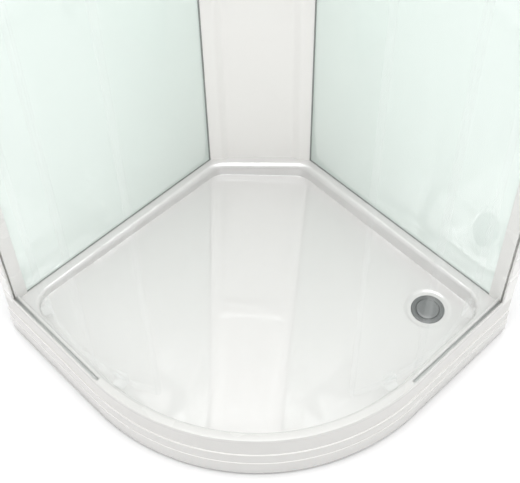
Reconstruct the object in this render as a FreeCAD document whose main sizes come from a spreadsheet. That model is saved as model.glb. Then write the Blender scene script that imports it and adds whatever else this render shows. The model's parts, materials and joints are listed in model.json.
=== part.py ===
import FreeCAD, Part
import math
import os

import Sketcher

# Quadrant shower enclosure for a room corner: low tray with a stepped apron, two glass walls
# with a corner column, two fixed front panes and two curved doors that slide apart.
# Frame: +Z up, origin on the floor under the middle of the footprint. The room's walls are the
# planes X = -footprint/2 and Y = +footprint/2, and the rounded front looks towards +X -Y.
# The right half is modelled and the left half is its mirror about the diagonal plane.

sizes = (
    ("footprint", 900, "length along each wall"),
    ("front_radius", 550, "outer radius of the rounded front"),
    ("overall_height", 2000, "floor to the top of the caps"),
    ("rim_height", 150, "floor to the rim of the tray"),
    ("seat_gap", 0.3, "clearance between pieces that only rest or pass close by"),
    # tray
    ("rim_thickness", 5, "tray rim"),
    ("tray_wall", 4, "tray shell"),
    ("skirt_drop", 28, "turned-down edge of the tray along the walls"),
    ("ledge_width", 61, "wall plane to the edge of the basin"),
    ("front_ledge", 37, "outer line to the edge of the basin along the front"),
    ("column_ledge", 290, "corner to the basin's slanted back edge, measured as the sum of both"),
    ("basin_depth", 48.5, "rim to the floor of the basin at the waste"),
    ("floor_fall", 1.4, "slope of the basin floor towards the waste, in degrees"),
    ("basin_back_round", 55, "plan radius beside the column"),
    ("basin_front_round", 58, "plan radius at the two ends of the sill"),
    ("cove_radius", 4, "round between the wall of the basin and its floor"),
    ("rim_round", 8, "round at the edge of the rim"),
    # sill
    ("sill_height", 15, "bottom rail on the rim"),
    ("sill_width", 20, "bottom rail, across"),
    ("sill_inset", 5, "outer line to the face of the sill"),
    ("sill_round", 2, "round along the sill's edges"),
    ("bead_width", 3.5, "sealing bead behind the sill"),
    ("pane_line", 13.3, "outer line to the middle of the fixed panes"),
    ("groove_width", 8, "groove that holds a fixed pane"),
    ("groove_depth", 9, "groove that holds a fixed pane"),
    ("groove_overrun", 13, "how far a groove runs past the start of the round front"),
    # apron
    ("apron_wall", 4, "apron sheet"),
    ("apron_foot", 10, "floor to the lower edge of the apron"),
    ("lower_step", 60, "floor to the lower step of the apron"),
    ("upper_step", 98, "floor to the upper step of the apron"),
    ("lower_step_out", 1.8, "depth of the lower step"),
    ("step_round", 1.2, "round on each step's edge"),
    ("apron_return", 16, "width of the flange along the apron's lower edge"),
    # glass walls, column and posts
    ("glass_thickness", 5, "every pane"),
    ("wall_face", 32.4, "wall plane to the face of the wall glass"),
    ("gasket_width", 4, "seal under and beside the wall glass"),
    ("gasket_lip", 1.5, "seal in front of and behind the wall glass"),
    ("column_reach", 225.6, "corner to the edge of the column along each wall"),
    ("column_wall", 3, "column sheet"),
    ("field_half", 110, "half the width of the column's recessed fields"),
    ("field_slope", 26, "width of the rolled side of a recessed field"),
    ("field_depth", 8, "depth of the recessed fields"),
    ("field_round", 45, "corner radius of the recessed fields"),
    ("lower_field_top", 790, "floor to the top of the lower field"),
    ("upper_field_foot", 850, "floor to the foot of the upper field"),
    ("field_margin", 60, "plain strip above the upper field"),
    ("cap_thickness", 3, "caps on the column and the posts"),
    ("post_width", 45, "front post, along the wall"),
    ("post_depth", 36, "front post, out from the wall"),
    ("post_wall", 2.5, "front post, sheet"),
    ("slot_play", 0.5, "play on each side of a pane in its slot"),
    ("slot_depth", 12, "slots in the posts"),
    ("trim_height", 22, "top trim over the wall glass"),
    ("trim_wall", 3, "top trim, sheet"),
    # top rail
    ("rail_height", 47, "top rail"),
    ("rail_width", 29.5, "top rail, across"),
    ("lip_wall", 1.3, "lips of the track and of the slot over it"),
    ("rail_wall", 2.5, "top rail, sheet"),
    ("track_height", 16, "foot of the top rail to the floor of the track"),
    ("track_lip", 3, "upstand along the track"),
    ("window_drop", 12, "top of the rail to the slot that the axles pass through"),
    # doors
    ("roller_line", 22, "outer line to the middle of the roller track"),
    ("door_line", 51, "outer line to the middle of the door glass"),
    ("roller_spacing", 300, "distance between the two rollers of a door"),
    ("travel_reserve", 74, "straight track left between the rear roller and the post"),
    ("track_drift", 6.5, "how far the rear roller drifts inwards at the open end"),
    ("door_tail", 39, "door glass behind the rear roller"),
    ("meeting_gap", 0.4, "half the gap between the closed doors"),
    ("magnet_width", 9, "magnetic seal, along the door"),
    ("magnet_depth", 13, "magnetic seal, across"),
    ("door_foot_gap", 10, "top of the sill to the door glass"),
    ("door_head_gap", 8, "door glass to the foot of the top rail"),
    ("wheel_radius", 9, "door rollers"),
    ("wheel_width", 5, "door rollers"),
    ("wheel_groove", 0.8, "depth of the tread"),
    ("axle_radius", 2.5, "axle of a door roller"),
    ("running_gap", 0.05, "radial clearance of a roller on its axle"),
    ("hanger_width", 22, "plate between roller and glass"),
    ("hanger_plate", 3, "plate between roller and glass"),
    ("hanger_overlap", 48, "length of the plate on the glass"),
    ("guide_width", 30, "guide at the foot of a door"),
    ("guide_nose", 32.5, "outer line to the nose of a guide"),
    ("guide_rise", 16, "guide on the glass"),
    ("tail_fin", 10, "sealing fin of a door"),
    ("pane_fin", 7, "sealing fin of a fixed pane"),
    ("fin_thickness", 1.5, "sealing fins"),
    ("handle_height", 1470, "floor to the middle of a handle"),
    ("handle_length", 170, "bar of a handle"),
    ("handle_radius", 7, "bar of a handle"),
    ("handle_reach", 31, "glass to the middle of the bar"),
    ("handle_setback", 42, "leading edge of the door to the handle"),
    # waste
    ("waste_from_walls", 146, "right wall plane to the middle of the waste"),
    ("waste_from_end", 147, "outer end of the right wall to the middle of the waste"),
    ("dish_radius", 55, "shallow dish round the waste"),
    ("dish_depth", 3, "shallow dish round the waste"),
    ("flange_radius", 42.5, "waste flange"),
    ("flange_thickness", 2.6, "waste flange"),
    ("cap_radius", 29, "cap in the waste"),
    ("cap_gap", 1, "ring gap between cap and flange"),
    ("cap_lift", 35, "how far the cap lifts out"),
    ("waste_tube", 2.5, "wall of the waste's tubes"),
    ("trap_radius", 44, "trap"),
    ("trap_foot", 18, "floor to the trap"),
    ("outlet_radius", 20, "outlet pipe"),
    ("outlet_axis", 46, "floor to the middle of the outlet pipe"),
    ("outlet_end", 6, "right wall plane to the mouth of the outlet pipe"),
    # tray frame
    ("beam", 25, "square tube of the tray frame"),
    ("beam_wall", 2, "square tube of the tray frame"),
    ("beam_height", 56, "floor to the lower face of the beams"),
    ("rear_beam", 150, "middle of the footprint to the beams through the foot crossing"),
    ("front_beam", 190, "middle of the footprint to the beams behind the apron"),
    ("upright_inset", 27, "wall plane to the middle of an upright"),
    ("stud_radius", 6, "threaded stud of a foot"),
    ("foot_radius", 24, "adjustable foot"),
    ("foot_height", 14, "adjustable foot"),
    ("nut_height", 8, "lock nut"),
    ("nut_radius", 11, "lock nut across its corners, halved"),
    ("pad_radius", 11, "pad between beam and tray"),
    ("clip_wall", 3, "clips that hold the apron to the frame"),
    ("clip_width", 24, "clips that hold the apron to the frame"),
    ("screw_hole", 2.6, "radius of the fixing holes in the back of a post"),
    ("screw_pitch", 700, "distance between the fixing holes of a post"),
)

doc = FreeCAD.newDocument("quadrant_enclosure")
sheet = doc.addObject("Spreadsheet::Sheet", "Sizes")
for row, (alias, amount, meaning) in enumerate(sizes, start=1):
    sheet.set("A%d" % row, alias)
    sheet.set("B%d" % row, str(amount))
    sheet.set("C%d" % row, meaning)
    sheet.setAlias("B%d" % row, alias)
doc.recompute()


def size(alias):
    return float(sheet.get(alias))


def vector(x, y, z=0.0):
    return FreeCAD.Vector(x, y, z)


half = size("footprint") / 2
centre_x = size("footprint") / 2 - size("front_radius")
centre_y = -centre_x
rim = size("rim_height")
glass = size("glass_thickness")
gap = size("seat_gap")
door_travel = size("footprint") - size("front_radius") - size("post_depth") - size("travel_reserve")
sill_top = rim + size("sill_height")
post_top = size("overall_height") - size("cap_thickness")
rail_foot = post_top - size("rail_height")
post_front = half - size("post_depth")
up = vector(0, 0, 1)
diagonal = vector(1, 1, 0)
nodes = []


# ---- helpers ---------------------------------------------------------------------------------

def keep(item, label):
    item.Label = label
    nodes.append(item)
    return item


def feature(label, shape):
    item = doc.addObject("Part::Feature", label)
    item.Shape = shape
    return keep(item, label)


def mirrored(label, source):
    item = doc.addObject("Part::Mirroring", label)
    item.Source = source
    item.Base = vector(0, 0, 0)
    item.Normal = diagonal
    return keep(item, label)


def bind(item, formulas):
    for place, formula in formulas.items():
        item.setExpression(place, formula)


def box(name, length, width, height, x, y, z):
    item = doc.addObject("Part::Box", name)
    bind(item, {"Length": length, "Width": width, "Height": height,
                ".Placement.Base.x": x, ".Placement.Base.y": y, ".Placement.Base.z": z})
    return item


def cylinder(name, radius, height, x, y, z):
    item = doc.addObject("Part::Cylinder", name)
    bind(item, {"Radius": radius, "Height": height,
                ".Placement.Base.x": x, ".Placement.Base.y": y, ".Placement.Base.z": z})
    return item


def fuse(name, shapes):
    item = doc.addObject("Part::MultiFuse", name)
    item.Shapes = shapes
    item.Refine = True
    return item


def cut(name, base, tool):
    item = doc.addObject("Part::Cut", name)
    item.Base = base
    item.Tool = tool
    return item


def group(name, items):
    item = doc.addObject("Part::Compound", name)
    item.Links = items
    return item


def body(name):
    return doc.addObject("PartDesign::Body", name)


def origin_plane(owner, role):
    return [item for item in owner.Origin.OriginFeatures if item.Role == role][0]


def outline(owner, name, role, points):
    """Closed polygon in a sketch; each corner is a pair of formulas."""
    sketch = owner.newObject("Sketcher::SketchObject", name)
    sketch.AttachmentSupport = [(origin_plane(owner, role), "")]
    sketch.MapMode = "FlatFace"
    count = len(points)
    start = [vector(10 * math.cos(2 * math.pi * i / count), 10 * math.sin(2 * math.pi * i / count))
             for i in range(count)]
    for i in range(count):
        sketch.addGeometry(Part.LineSegment(start[i], start[(i + 1) % count]), False)
    for i in range(count):
        sketch.addConstraint(Sketcher.Constraint("Coincident", i, 2, (i + 1) % count, 1))
    for i, (x, y) in enumerate(points):
        across = sketch.addConstraint(Sketcher.Constraint("DistanceX", -1, 1, i, 1, start[i].x))
        along = sketch.addConstraint(Sketcher.Constraint("DistanceY", -1, 1, i, 1, start[i].y))
        sketch.setExpression("Constraints[%d]" % across, x)
        sketch.setExpression("Constraints[%d]" % along, y)
    return sketch


def turned(name, points):
    """Body turned about the Z axis from a half section of (radius, height) formulas."""
    owner = body(name)
    sketch = outline(owner, name + "_section", "XZ_Plane", points)
    turn = owner.newObject("PartDesign::Revolution", name + "_turn")
    turn.Profile = sketch
    turn.ReferenceAxis = (sketch, ["V_Axis"])
    turn.Angle = 360
    return owner


def place(item, x, y, z):
    bind(item, {".Placement.Base.x": x, ".Placement.Base.y": y, ".Placement.Base.z": z})


def front_path(inset, start, far):
    """Edges of the front line at an inset: straight, quarter round, straight."""
    radius = size("front_radius") - inset
    first = vector(centre_x + radius, start)
    turn_in = vector(centre_x + radius, centre_y)
    turn_out = vector(centre_x, centre_y - radius)
    middle = vector(centre_x + radius * math.sqrt(0.5), centre_y - radius * math.sqrt(0.5))
    last = vector(-start, centre_y - radius) if far is None else vector(far, centre_y - radius)
    return [Part.LineSegment(first, turn_in).toShape(),
            Part.Arc(turn_in, middle, turn_out).toShape(),
            Part.LineSegment(turn_out, last).toShape()]


def front_band(outer, inner, start, low, high):
    """Band along the whole front between two insets, from wall side to wall side."""
    out_edges = front_path(outer, start, None)
    in_edges = front_path(inner, start, None)
    first = Part.LineSegment(out_edges[0].Vertexes[0].Point, in_edges[0].Vertexes[0].Point)
    last = Part.LineSegment(out_edges[2].Vertexes[-1].Point, in_edges[2].Vertexes[-1].Point)
    wire = Part.Wire(Part.__sortEdges__(out_edges + in_edges + [first.toShape(), last.toShape()]))
    band = Part.Face(wire).extrude(vector(0, 0, high - low))
    band.translate(vector(0, 0, low))
    return band


def block(x_low, x_high, y_low, y_high, z_low, z_high):
    return Part.makeBox(x_high - x_low, y_high - y_low, z_high - z_low, vector(x_low, y_low, z_low))


def both(shape):
    return [shape, shape.mirror(vector(0, 0, 0), diagonal)]


def whole(first, others):
    shape = first
    for other in others:
        shape = shape.fuse(other)
    return shape.removeSplitter()


def prism(points, low, high):
    wire = Part.makePolygon([vector(x, y, low) for x, y in points + points[:1]])
    return Part.Face(wire).extrude(vector(0, 0, high - low))


# ---- tray ------------------------------------------------------------------------------------

waste_x = half - size("waste_from_end")
waste_y = half - size("waste_from_walls")
basin_floor = rim - size("basin_depth")
fall = math.radians(size("floor_fall"))


def floor_height(x, y):
    """Height of the basin floor, which falls along the diagonal towards the waste."""
    away = (waste_x + waste_y - x - y) / math.sqrt(2)
    return basin_floor + away * math.tan(fall)


def basin(grow, front_inset):
    """Hollow of the basin as a solid; grow makes it larger all round."""
    wall_side = half - size("ledge_width") + grow
    front = half - front_inset + grow
    radius = front - centre_x
    slant = size("footprint") - size("column_ledge") + grow * math.sqrt(2)
    # the slanted edge in front of the column is the line y - x = slant
    left_end = vector(-wall_side, slant - wall_side)
    right_end = vector(wall_side - slant, wall_side)
    corner = vector(front, wall_side)
    turn_in = vector(front, centre_y)
    middle = vector(centre_x + radius * math.sqrt(0.5), centre_y - radius * math.sqrt(0.5))
    turn_out = vector(centre_x, -front)
    far_corner = vector(-wall_side, -front)
    edges = [Part.LineSegment(left_end, right_end), Part.LineSegment(right_end, corner),
             Part.LineSegment(corner, turn_in), Part.Arc(turn_in, middle, turn_out),
             Part.LineSegment(turn_out, far_corner), Part.LineSegment(far_corner, left_end)]
    foot = basin_floor - 60
    solid = Part.Face(Part.Wire([edge.toShape() for edge in edges])).extrude(vector(0, 0, rim + 40 - foot))
    solid.translate(vector(0, 0, foot))
    for corners, plan_round in (((left_end, right_end), size("basin_back_round") + grow),
                                ((corner, far_corner), size("basin_front_round") + grow)):
        picked = [edge for edge in solid.Edges if any(
            abs(vertex.X - point.x) + abs(vertex.Y - point.y) < 0.01
            for point in corners for vertex in edge.Vertexes[:1]) and abs(edge.tangentAt(0).z) > 0.9]
        solid = solid.makeFillet(plan_round, picked)
    # everything under the sloping floor is taken off
    below = block(-2 * half, 2 * half, -2 * half, 2 * half, -rim, -grow)
    below.rotate(vector(0, 0, 0), vector(1, -1, 0), -math.degrees(fall))
    below.translate(vector(waste_x, waste_y, basin_floor))
    solid = solid.cut(below)
    lowest = min(solid.Faces, key=lambda face: face.CenterOfMass.z)
    return solid.makeFillet(size("cove_radius") + grow, lowest.Edges)


def make_tray():
    front_inset = size("front_ledge")
    apron_inset = size("sill_inset") + size("apron_wall") + gap
    rim_radius = size("front_radius") - apron_inset
    edges = front_path(apron_inset, half, None)
    corner = vector(-half, half)
    edges.append(Part.LineSegment(edges[2].Vertexes[-1].Point, corner).toShape())
    edges.append(Part.LineSegment(corner, edges[0].Vertexes[0].Point).toShape())
    plan = Part.Face(Part.Wire(Part.__sortEdges__(edges)))
    plate = plan.extrude(vector(0, 0, size("rim_thickness")))
    plate.translate(vector(0, 0, rim - size("rim_thickness")))
    front_end = centre_x + rim_radius
    skirt = block(-half, front_end, half - size("tray_wall"), half, rim - size("skirt_drop"), rim)
    boss = Part.makeCylinder(size("dish_radius") + size("tray_wall"), size("dish_depth") + size("tray_wall"),
                             vector(waste_x, waste_y, basin_floor - size("dish_depth") - size("tray_wall")))
    outer = basin(size("tray_wall"), front_inset)
    outer = outer.cut(block(-2 * half, 2 * half, -2 * half, 2 * half, rim - 1, rim + 100))
    shell = whole(plate, both(skirt) + [outer, boss])
    shell = shell.cut(basin(0, front_inset))
    dish = Part.makeCone(size("dish_radius") - size("dish_depth"), size("dish_radius") + size("dish_depth"),
                         2 * size("dish_depth"),
                         vector(waste_x, waste_y, basin_floor - size("dish_depth")))
    hole = Part.makeCylinder(size("cap_radius") + size("cap_gap") + size("waste_tube") + gap, 60,
                             vector(waste_x, waste_y, basin_floor - 40))
    shell = shell.cut(dish).cut(hole)
    inside = half - size("ledge_width")
    lip = [edge for edge in shell.Edges
           if abs(edge.BoundBox.ZMin - rim) < 0.01 and abs(edge.BoundBox.ZMax - rim) < 0.01
           and edge.BoundBox.XMin > -inside - 1 and edge.BoundBox.YMax < inside + 1
           and edge.BoundBox.XMax < half - front_inset + 1 and edge.BoundBox.YMin > -half + front_inset - 1]
    return shell.makeFillet(size("rim_round"), lip)


feature("tray_shell", make_tray())


# ---- sill, apron and top rail -----------------------------------------------------------------

def pane_slot(low, high):
    """Room for the two fixed panes in a rail, with round ends."""
    line = half - size("pane_line")
    width = size("groove_width")
    end = centre_y - size("groove_overrun") + width / 2
    slot = block(line - width / 2, line + width / 2, end, post_front + 1, low, high)
    tip = Part.makeCylinder(width / 2, high - low, vector(line, end, low))
    return both(slot.fuse(tip))


def make_sill():
    inset = size("sill_inset")
    sill = front_band(inset, inset + size("sill_width"), post_front, rim, sill_top)
    rounded = [edge for edge in sill.Edges if edge.BoundBox.ZMin > sill_top - 0.01
               and edge.BoundBox.XMax + abs(edge.BoundBox.YMin) > 0 and edge.Length > size("sill_width") + 1]
    sill = sill.makeFillet(size("sill_round"), rounded)
    for slot in pane_slot(sill_top - size("groove_depth"), sill_top + 1):
        sill = sill.cut(slot)
    return sill


def make_apron():
    wall = size("apron_wall")
    lower_out = 0.0
    middle_out = size("lower_step_out")
    upper_out = size("sill_inset")
    top = rim
    foot = size("apron_foot")
    low = size("lower_step")
    high = size("upper_step")
    bands = [front_band(lower_out, lower_out + wall, half, foot, low),
             front_band(lower_out, middle_out + wall, half, low - wall, low),
             front_band(middle_out, middle_out + wall, half, low - wall, high),
             front_band(middle_out, upper_out + wall, half, high - wall, high),
             front_band(upper_out, upper_out + wall, half, high - wall, top),
             front_band(lower_out, size("apron_return"), half, foot, foot + wall)]
    apron = whole(bands[0], bands[1:])
    steps = []
    for inset, level in ((lower_out, low), (middle_out, high)):
        reach = half - inset
        steps += [edge for edge in apron.Edges if abs(edge.BoundBox.ZMin - level) < 0.01
                  and abs(edge.BoundBox.ZMax - level) < 0.01 and edge.Length > 50
                  and (abs(edge.BoundBox.XMax - reach) < 0.01 or abs(edge.BoundBox.YMin + reach) < 0.01)
                  and not abs(edge.BoundBox.XMin + half) < 0.01 * (edge.BoundBox.XLength < 1)]
    return apron.makeFillet(size("step_round"), steps)


def make_top_rail():
    outer = size("sill_inset")
    inner = outer + size("rail_width")
    wall = size("rail_wall")
    lip = size("lip_wall")
    slot_in = size("pane_line") + size("groove_width") / 2
    slot_out = size("pane_line") - size("groove_width") / 2
    track = rail_foot + size("track_height")
    bands = [front_band(outer, outer + wall, post_front, rail_foot, post_top),
             front_band(outer, slot_out, post_front, rail_foot, track),
             front_band(slot_in, slot_in + wall, post_front, rail_foot, track),
             front_band(outer, inner, post_front, track, track + wall),
             front_band(inner - lip, inner, post_front, track, track + wall + size("track_lip")),
             front_band(outer, inner, post_front, post_top - wall, post_top),
             front_band(inner - lip, inner, post_front, post_top - size("window_drop"), post_top)]
    return whole(bands[0], bands[1:])


feature("bottom_rail", make_sill())
feature("apron_panel", make_apron())
feature("top_rail", make_top_rail())


# ---- glass walls, gaskets, column, posts ----------------------------------------------------------

post_inner = half - size("sill_inset") - size("post_width")
column_edge = -half + size("column_reach")
wall_front = half - size("wall_face")
glass_foot = rim + size("gasket_width") / 2
glass_head = post_top - size("trim_wall") - gap

right_wall = box("right_wall_panel",
                 "Sizes.footprint - Sizes.sill_inset - Sizes.post_width - Sizes.column_reach"
                 " - Sizes.gasket_width / 2 + Sizes.slot_depth - 1",
                 "Sizes.glass_thickness",
                 "Sizes.overall_height - Sizes.cap_thickness - Sizes.trim_wall - Sizes.seat_gap"
                 " - Sizes.rim_height - Sizes.gasket_width / 2",
                 "-Sizes.footprint / 2 + Sizes.column_reach + Sizes.gasket_width / 2",
                 "Sizes.footprint / 2 - Sizes.wall_face",
                 "Sizes.rim_height + Sizes.gasket_width / 2")
keep(right_wall, "right_wall_panel")
mirrored("left_wall_panel", right_wall)


def make_gasket():
    """Channel seal along the foot and the column edge of the right wall glass."""
    lip = size("gasket_lip")
    width = size("gasket_width")
    back = wall_front + glass + lip
    face = wall_front - lip
    foot = block(column_edge, post_inner, face, back, rim, rim + width)
    side = block(column_edge, column_edge + width, face, back, rim, post_top - size("trim_height"))
    seal = foot.fuse(side)
    pane = block(column_edge + width / 2, post_inner + 1, wall_front, wall_front + glass,
                 rim + width / 2, post_top)
    return seal.cut(pane).removeSplitter()


right_gasket = feature("right_wall_gasket", make_gasket())
mirrored("left_wall_gasket", right_gasket)


def make_column():
    wall = size("column_wall")
    reach = size("column_reach")
    face = size("wall_face")
    low = rim
    high = post_top
    corner = -half, half

    def at(along_left, along_right):
        return corner[0] + along_right, corner[1] - along_left

    outer = prism([at(0, 0), at(reach, 0), at(reach, face), at(face, reach), at(0, reach)], low, high)
    inset = wall * math.sqrt(2)
    inner_reach = reach - wall
    inner_sum = reach + face - inset
    inner = prism([at(-1, -1), at(inner_reach, -1), at(inner_reach, inner_sum - inner_reach),
                   at(inner_sum - inner_reach, inner_reach), at(-1, inner_reach)], low - 1, high + 1)
    shell = outer.cut(inner)
    # the recessed fields are drawn in the column's own frame: across, depth, height
    face_distance = (reach + face) / math.sqrt(2)
    turn = FreeCAD.Rotation(up, 45)
    base = vector(-half + face_distance * math.sqrt(0.5), half - face_distance * math.sqrt(0.5))
    frame = FreeCAD.Placement(base, turn)

    def field(half_width, depth, foot, head, corner_round, extra):
        """Rounded rectangle across the column's face at a depth behind it."""
        points = [vector(-half_width, depth, foot), vector(half_width, depth, foot),
                  vector(half_width, depth, head), vector(-half_width, depth, head)]
        plate = Part.Face(Part.makePolygon(points + points[:1])).extrude(vector(0, 1, 0))
        picked = [edge for edge in plate.Edges if abs(edge.tangentAt(edge.FirstParameter).y) > 0.9
                  and (extra or edge.CenterOfMass.z > (foot + head) / 2)]
        rounded = plate.makeFillet(corner_round, picked)
        front = min(rounded.Faces, key=lambda part: part.CenterOfMass.y)
        return front.OuterWire

    def hollow(foot, head, grow, close_foot):
        wide = size("field_half") + grow
        narrow = wide - size("field_slope")
        slope = size("field_slope")
        depth = size("field_depth") + grow
        low_end = foot if close_foot else foot - slope
        front = field(wide, -0.01, low_end - grow, head + grow, size("field_round"), close_foot)
        back = field(narrow, depth, low_end - grow + slope, head + grow - slope,
                     size("field_round") - slope / 2, close_foot)
        return Part.makeLoft([front, back], True, True)

    fields = ((rim, size("lower_field_top"), False),
              (size("upper_field_foot"), post_top - size("field_margin"), True))
    column = shell
    for foot, head, close_foot in fields:
        backing = hollow(foot, head, wall, close_foot)
        backing.Placement = frame
        backing = backing.common(block(-2 * half, 2 * half, -2 * half, 2 * half, low, high))
        column = column.fuse(backing)
    column = column.common(outer)
    for foot, head, close_foot in fields:
        tool = hollow(foot, head, 0, close_foot)
        tool.Placement = frame
        column = column.cut(tool)
    return column.removeSplitter()


feature("corner_column", make_column())

def make_column_cap():
    reach = size("column_reach")
    face = size("wall_face")
    corner = (-half, half)
    points = [corner, (corner[0], corner[1] - reach), (corner[0] + face, corner[1] - reach),
              (corner[0] + reach, corner[1] - face), (corner[0] + reach, corner[1])]
    plate = prism(points, post_top, post_top + size("cap_thickness"))
    return plate


feature("column_cap", make_column_cap())


def make_post():
    """Right front post: box section with a slot for the wall glass and one for the fixed pane."""
    post = body("post_extrusion")
    x_out = "Sizes.footprint / 2 - Sizes.sill_inset"
    x_in = x_out + " - Sizes.post_width"
    y_back = "Sizes.footprint / 2"
    y_front = "Sizes.footprint / 2 - Sizes.post_depth"
    wall_low = "Sizes.footprint / 2 - Sizes.wall_face - Sizes.slot_play"
    wall_high = "Sizes.footprint / 2 - Sizes.wall_face + Sizes.glass_thickness + Sizes.slot_play"
    pane_in = "Sizes.footprint / 2 - Sizes.pane_line - Sizes.glass_thickness / 2 - Sizes.slot_play"
    pane_out = "Sizes.footprint / 2 - Sizes.pane_line + Sizes.glass_thickness / 2 + Sizes.slot_play"
    wall_deep = x_in + " + Sizes.slot_depth"
    pane_deep = y_front + " + Sizes.slot_depth"
    corners = [(x_out, y_back), (x_in, y_back), (x_in, wall_high), (wall_deep, wall_high),
               (wall_deep, wall_low), (x_in, wall_low), (x_in, y_front), (pane_in, y_front),
               (pane_in, pane_deep), (pane_out, pane_deep), (pane_out, y_front), (x_out, y_front)]
    section = outline(post, "post_section", "XY_Plane", corners)
    pad = post.newObject("PartDesign::Pad", "post_length")
    pad.Profile = section
    bind(pad, {"Length": "Sizes.overall_height - Sizes.cap_thickness - Sizes.rim_height"})
    core = [("%s - Sizes.post_wall" % x_out, "%s - Sizes.post_wall" % y_back),
            ("%s + Sizes.post_wall" % x_in, "%s - Sizes.post_wall" % y_back),
            ("%s + Sizes.post_wall" % x_in, "%s + Sizes.post_wall" % wall_high),
            ("%s + Sizes.post_wall" % wall_deep, "%s + Sizes.post_wall" % wall_high),
            ("%s + Sizes.post_wall" % wall_deep, "%s + Sizes.post_wall" % y_front),
            ("%s - Sizes.post_wall" % pane_in, "%s + Sizes.post_wall" % y_front),
            ("%s - Sizes.post_wall" % pane_in, "%s + Sizes.post_wall" % pane_deep),
            ("%s - Sizes.post_wall" % x_out, "%s + Sizes.post_wall" % pane_deep)]
    hollow = outline(post, "post_core", "XY_Plane", core)
    pocket = post.newObject("PartDesign::Pocket", "post_hollow")
    pocket.Profile = hollow
    pocket.Type = "ThroughAll"
    pocket.Reversed = True
    place(post, "0", "0", "Sizes.rim_height")
    return post


def fixing_holes():
    """Three holes through the back of the right post, for screws into the wall."""
    holes = []
    for number in (-1, 0, 1):
        hole = cylinder("fixing_hole_%d" % (number + 2), "Sizes.screw_hole", "Sizes.post_wall + 2",
                        "Sizes.footprint / 2 - Sizes.sill_inset - Sizes.post_width / 2",
                        "Sizes.footprint / 2 - Sizes.post_wall - 1",
                        "Sizes.overall_height / 2 + 75 + %d * Sizes.screw_pitch" % number)
        hole.Placement.Rotation = FreeCAD.Rotation(vector(1, 0, 0), -90)
        holes.append(hole)
    return group("fixing_holes", holes)


right_post = keep(cut("right_front_post", make_post(), fixing_holes()), "right_front_post")
mirrored("left_front_post", right_post)

right_cap = box("right_post_cap", "Sizes.post_width", "Sizes.post_depth", "Sizes.cap_thickness",
                "Sizes.footprint / 2 - Sizes.sill_inset - Sizes.post_width",
                "Sizes.footprint / 2 - Sizes.post_depth",
                "Sizes.overall_height - Sizes.cap_thickness")
keep(right_cap, "right_post_cap")
mirrored("left_post_cap", right_cap)

trim_length = ("Sizes.footprint - Sizes.sill_inset - Sizes.post_width - Sizes.column_reach")
trim_body = box("trim_body", trim_length, "Sizes.glass_thickness + 2 * Sizes.trim_wall + 2 * Sizes.slot_play",
                "Sizes.trim_height", "-Sizes.footprint / 2 + Sizes.column_reach",
                "Sizes.footprint / 2 - Sizes.wall_face - Sizes.trim_wall - Sizes.slot_play",
                "Sizes.overall_height - Sizes.cap_thickness - Sizes.trim_height")
trim_channel = box("trim_channel", trim_length + " + 2", "Sizes.glass_thickness + 2 * Sizes.slot_play",
                   "Sizes.trim_height - Sizes.trim_wall", "-Sizes.footprint / 2 + Sizes.column_reach - 1",
                   "Sizes.footprint / 2 - Sizes.wall_face - Sizes.slot_play",
                   "Sizes.overall_height - Sizes.cap_thickness - Sizes.trim_height")
right_trim = keep(cut("right_top_trim", trim_body, trim_channel), "right_top_trim")
mirrored("left_top_trim", right_trim)

# fixed panes stand in the sill's groove, the post's slot and the top rail's groove
pane_foot = "Sizes.rim_height + Sizes.sill_height - Sizes.groove_depth + Sizes.seat_gap"
pane_head = ("Sizes.overall_height - Sizes.cap_thickness - Sizes.rail_height"
             " + Sizes.track_height - Sizes.seat_gap")
right_pane = box("right_fixed_pane", "Sizes.glass_thickness",
                 "Sizes.footprint - Sizes.front_radius - Sizes.post_depth + Sizes.slot_depth - 1"
                 " + Sizes.groove_overrun - Sizes.groove_width / 2",
                 pane_head + " - (" + pane_foot + ")",
                 "Sizes.footprint / 2 - Sizes.pane_line - Sizes.glass_thickness / 2",
                 "Sizes.front_radius - Sizes.footprint / 2 - Sizes.groove_overrun + Sizes.groove_width / 2",
                 pane_foot)
keep(right_pane, "right_fixed_pane")
mirrored("left_fixed_pane", right_pane)


def make_pane_seal():
    """Clear channel on the free edge of a fixed pane, with a fin that points inwards."""
    line = half - size("pane_line")
    edge = centre_y - size("groove_overrun") + size("groove_width") / 2
    thick = size("fin_thickness")
    low = sill_top + gap
    high = rail_foot - gap
    shell = block(line - glass / 2 - thick, line + glass / 2 + thick, edge - thick, edge + 8, low, high)
    pane = block(line - glass / 2, line + glass / 2, edge, edge + 9, low - 1, high + 1)
    fin = block(line - glass / 2 - size("pane_fin"), line - glass / 2 - thick, edge - thick, edge,
                low, high)
    return shell.cut(pane).fuse(fin).removeSplitter()


right_pane_seal = feature("right_pane_seal", make_pane_seal())
mirrored("left_pane_seal", right_pane_seal)


# ---- doors ------------------------------------------------------------------------------------
# A door's rollers follow the quarter round and then the straight track. The door turns about the
# one upright axis that carries it from closed to open with both rollers on the track there.

roller_path = size("front_radius") - size("roller_line")
door_radius = size("front_radius") - size("door_line")


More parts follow.
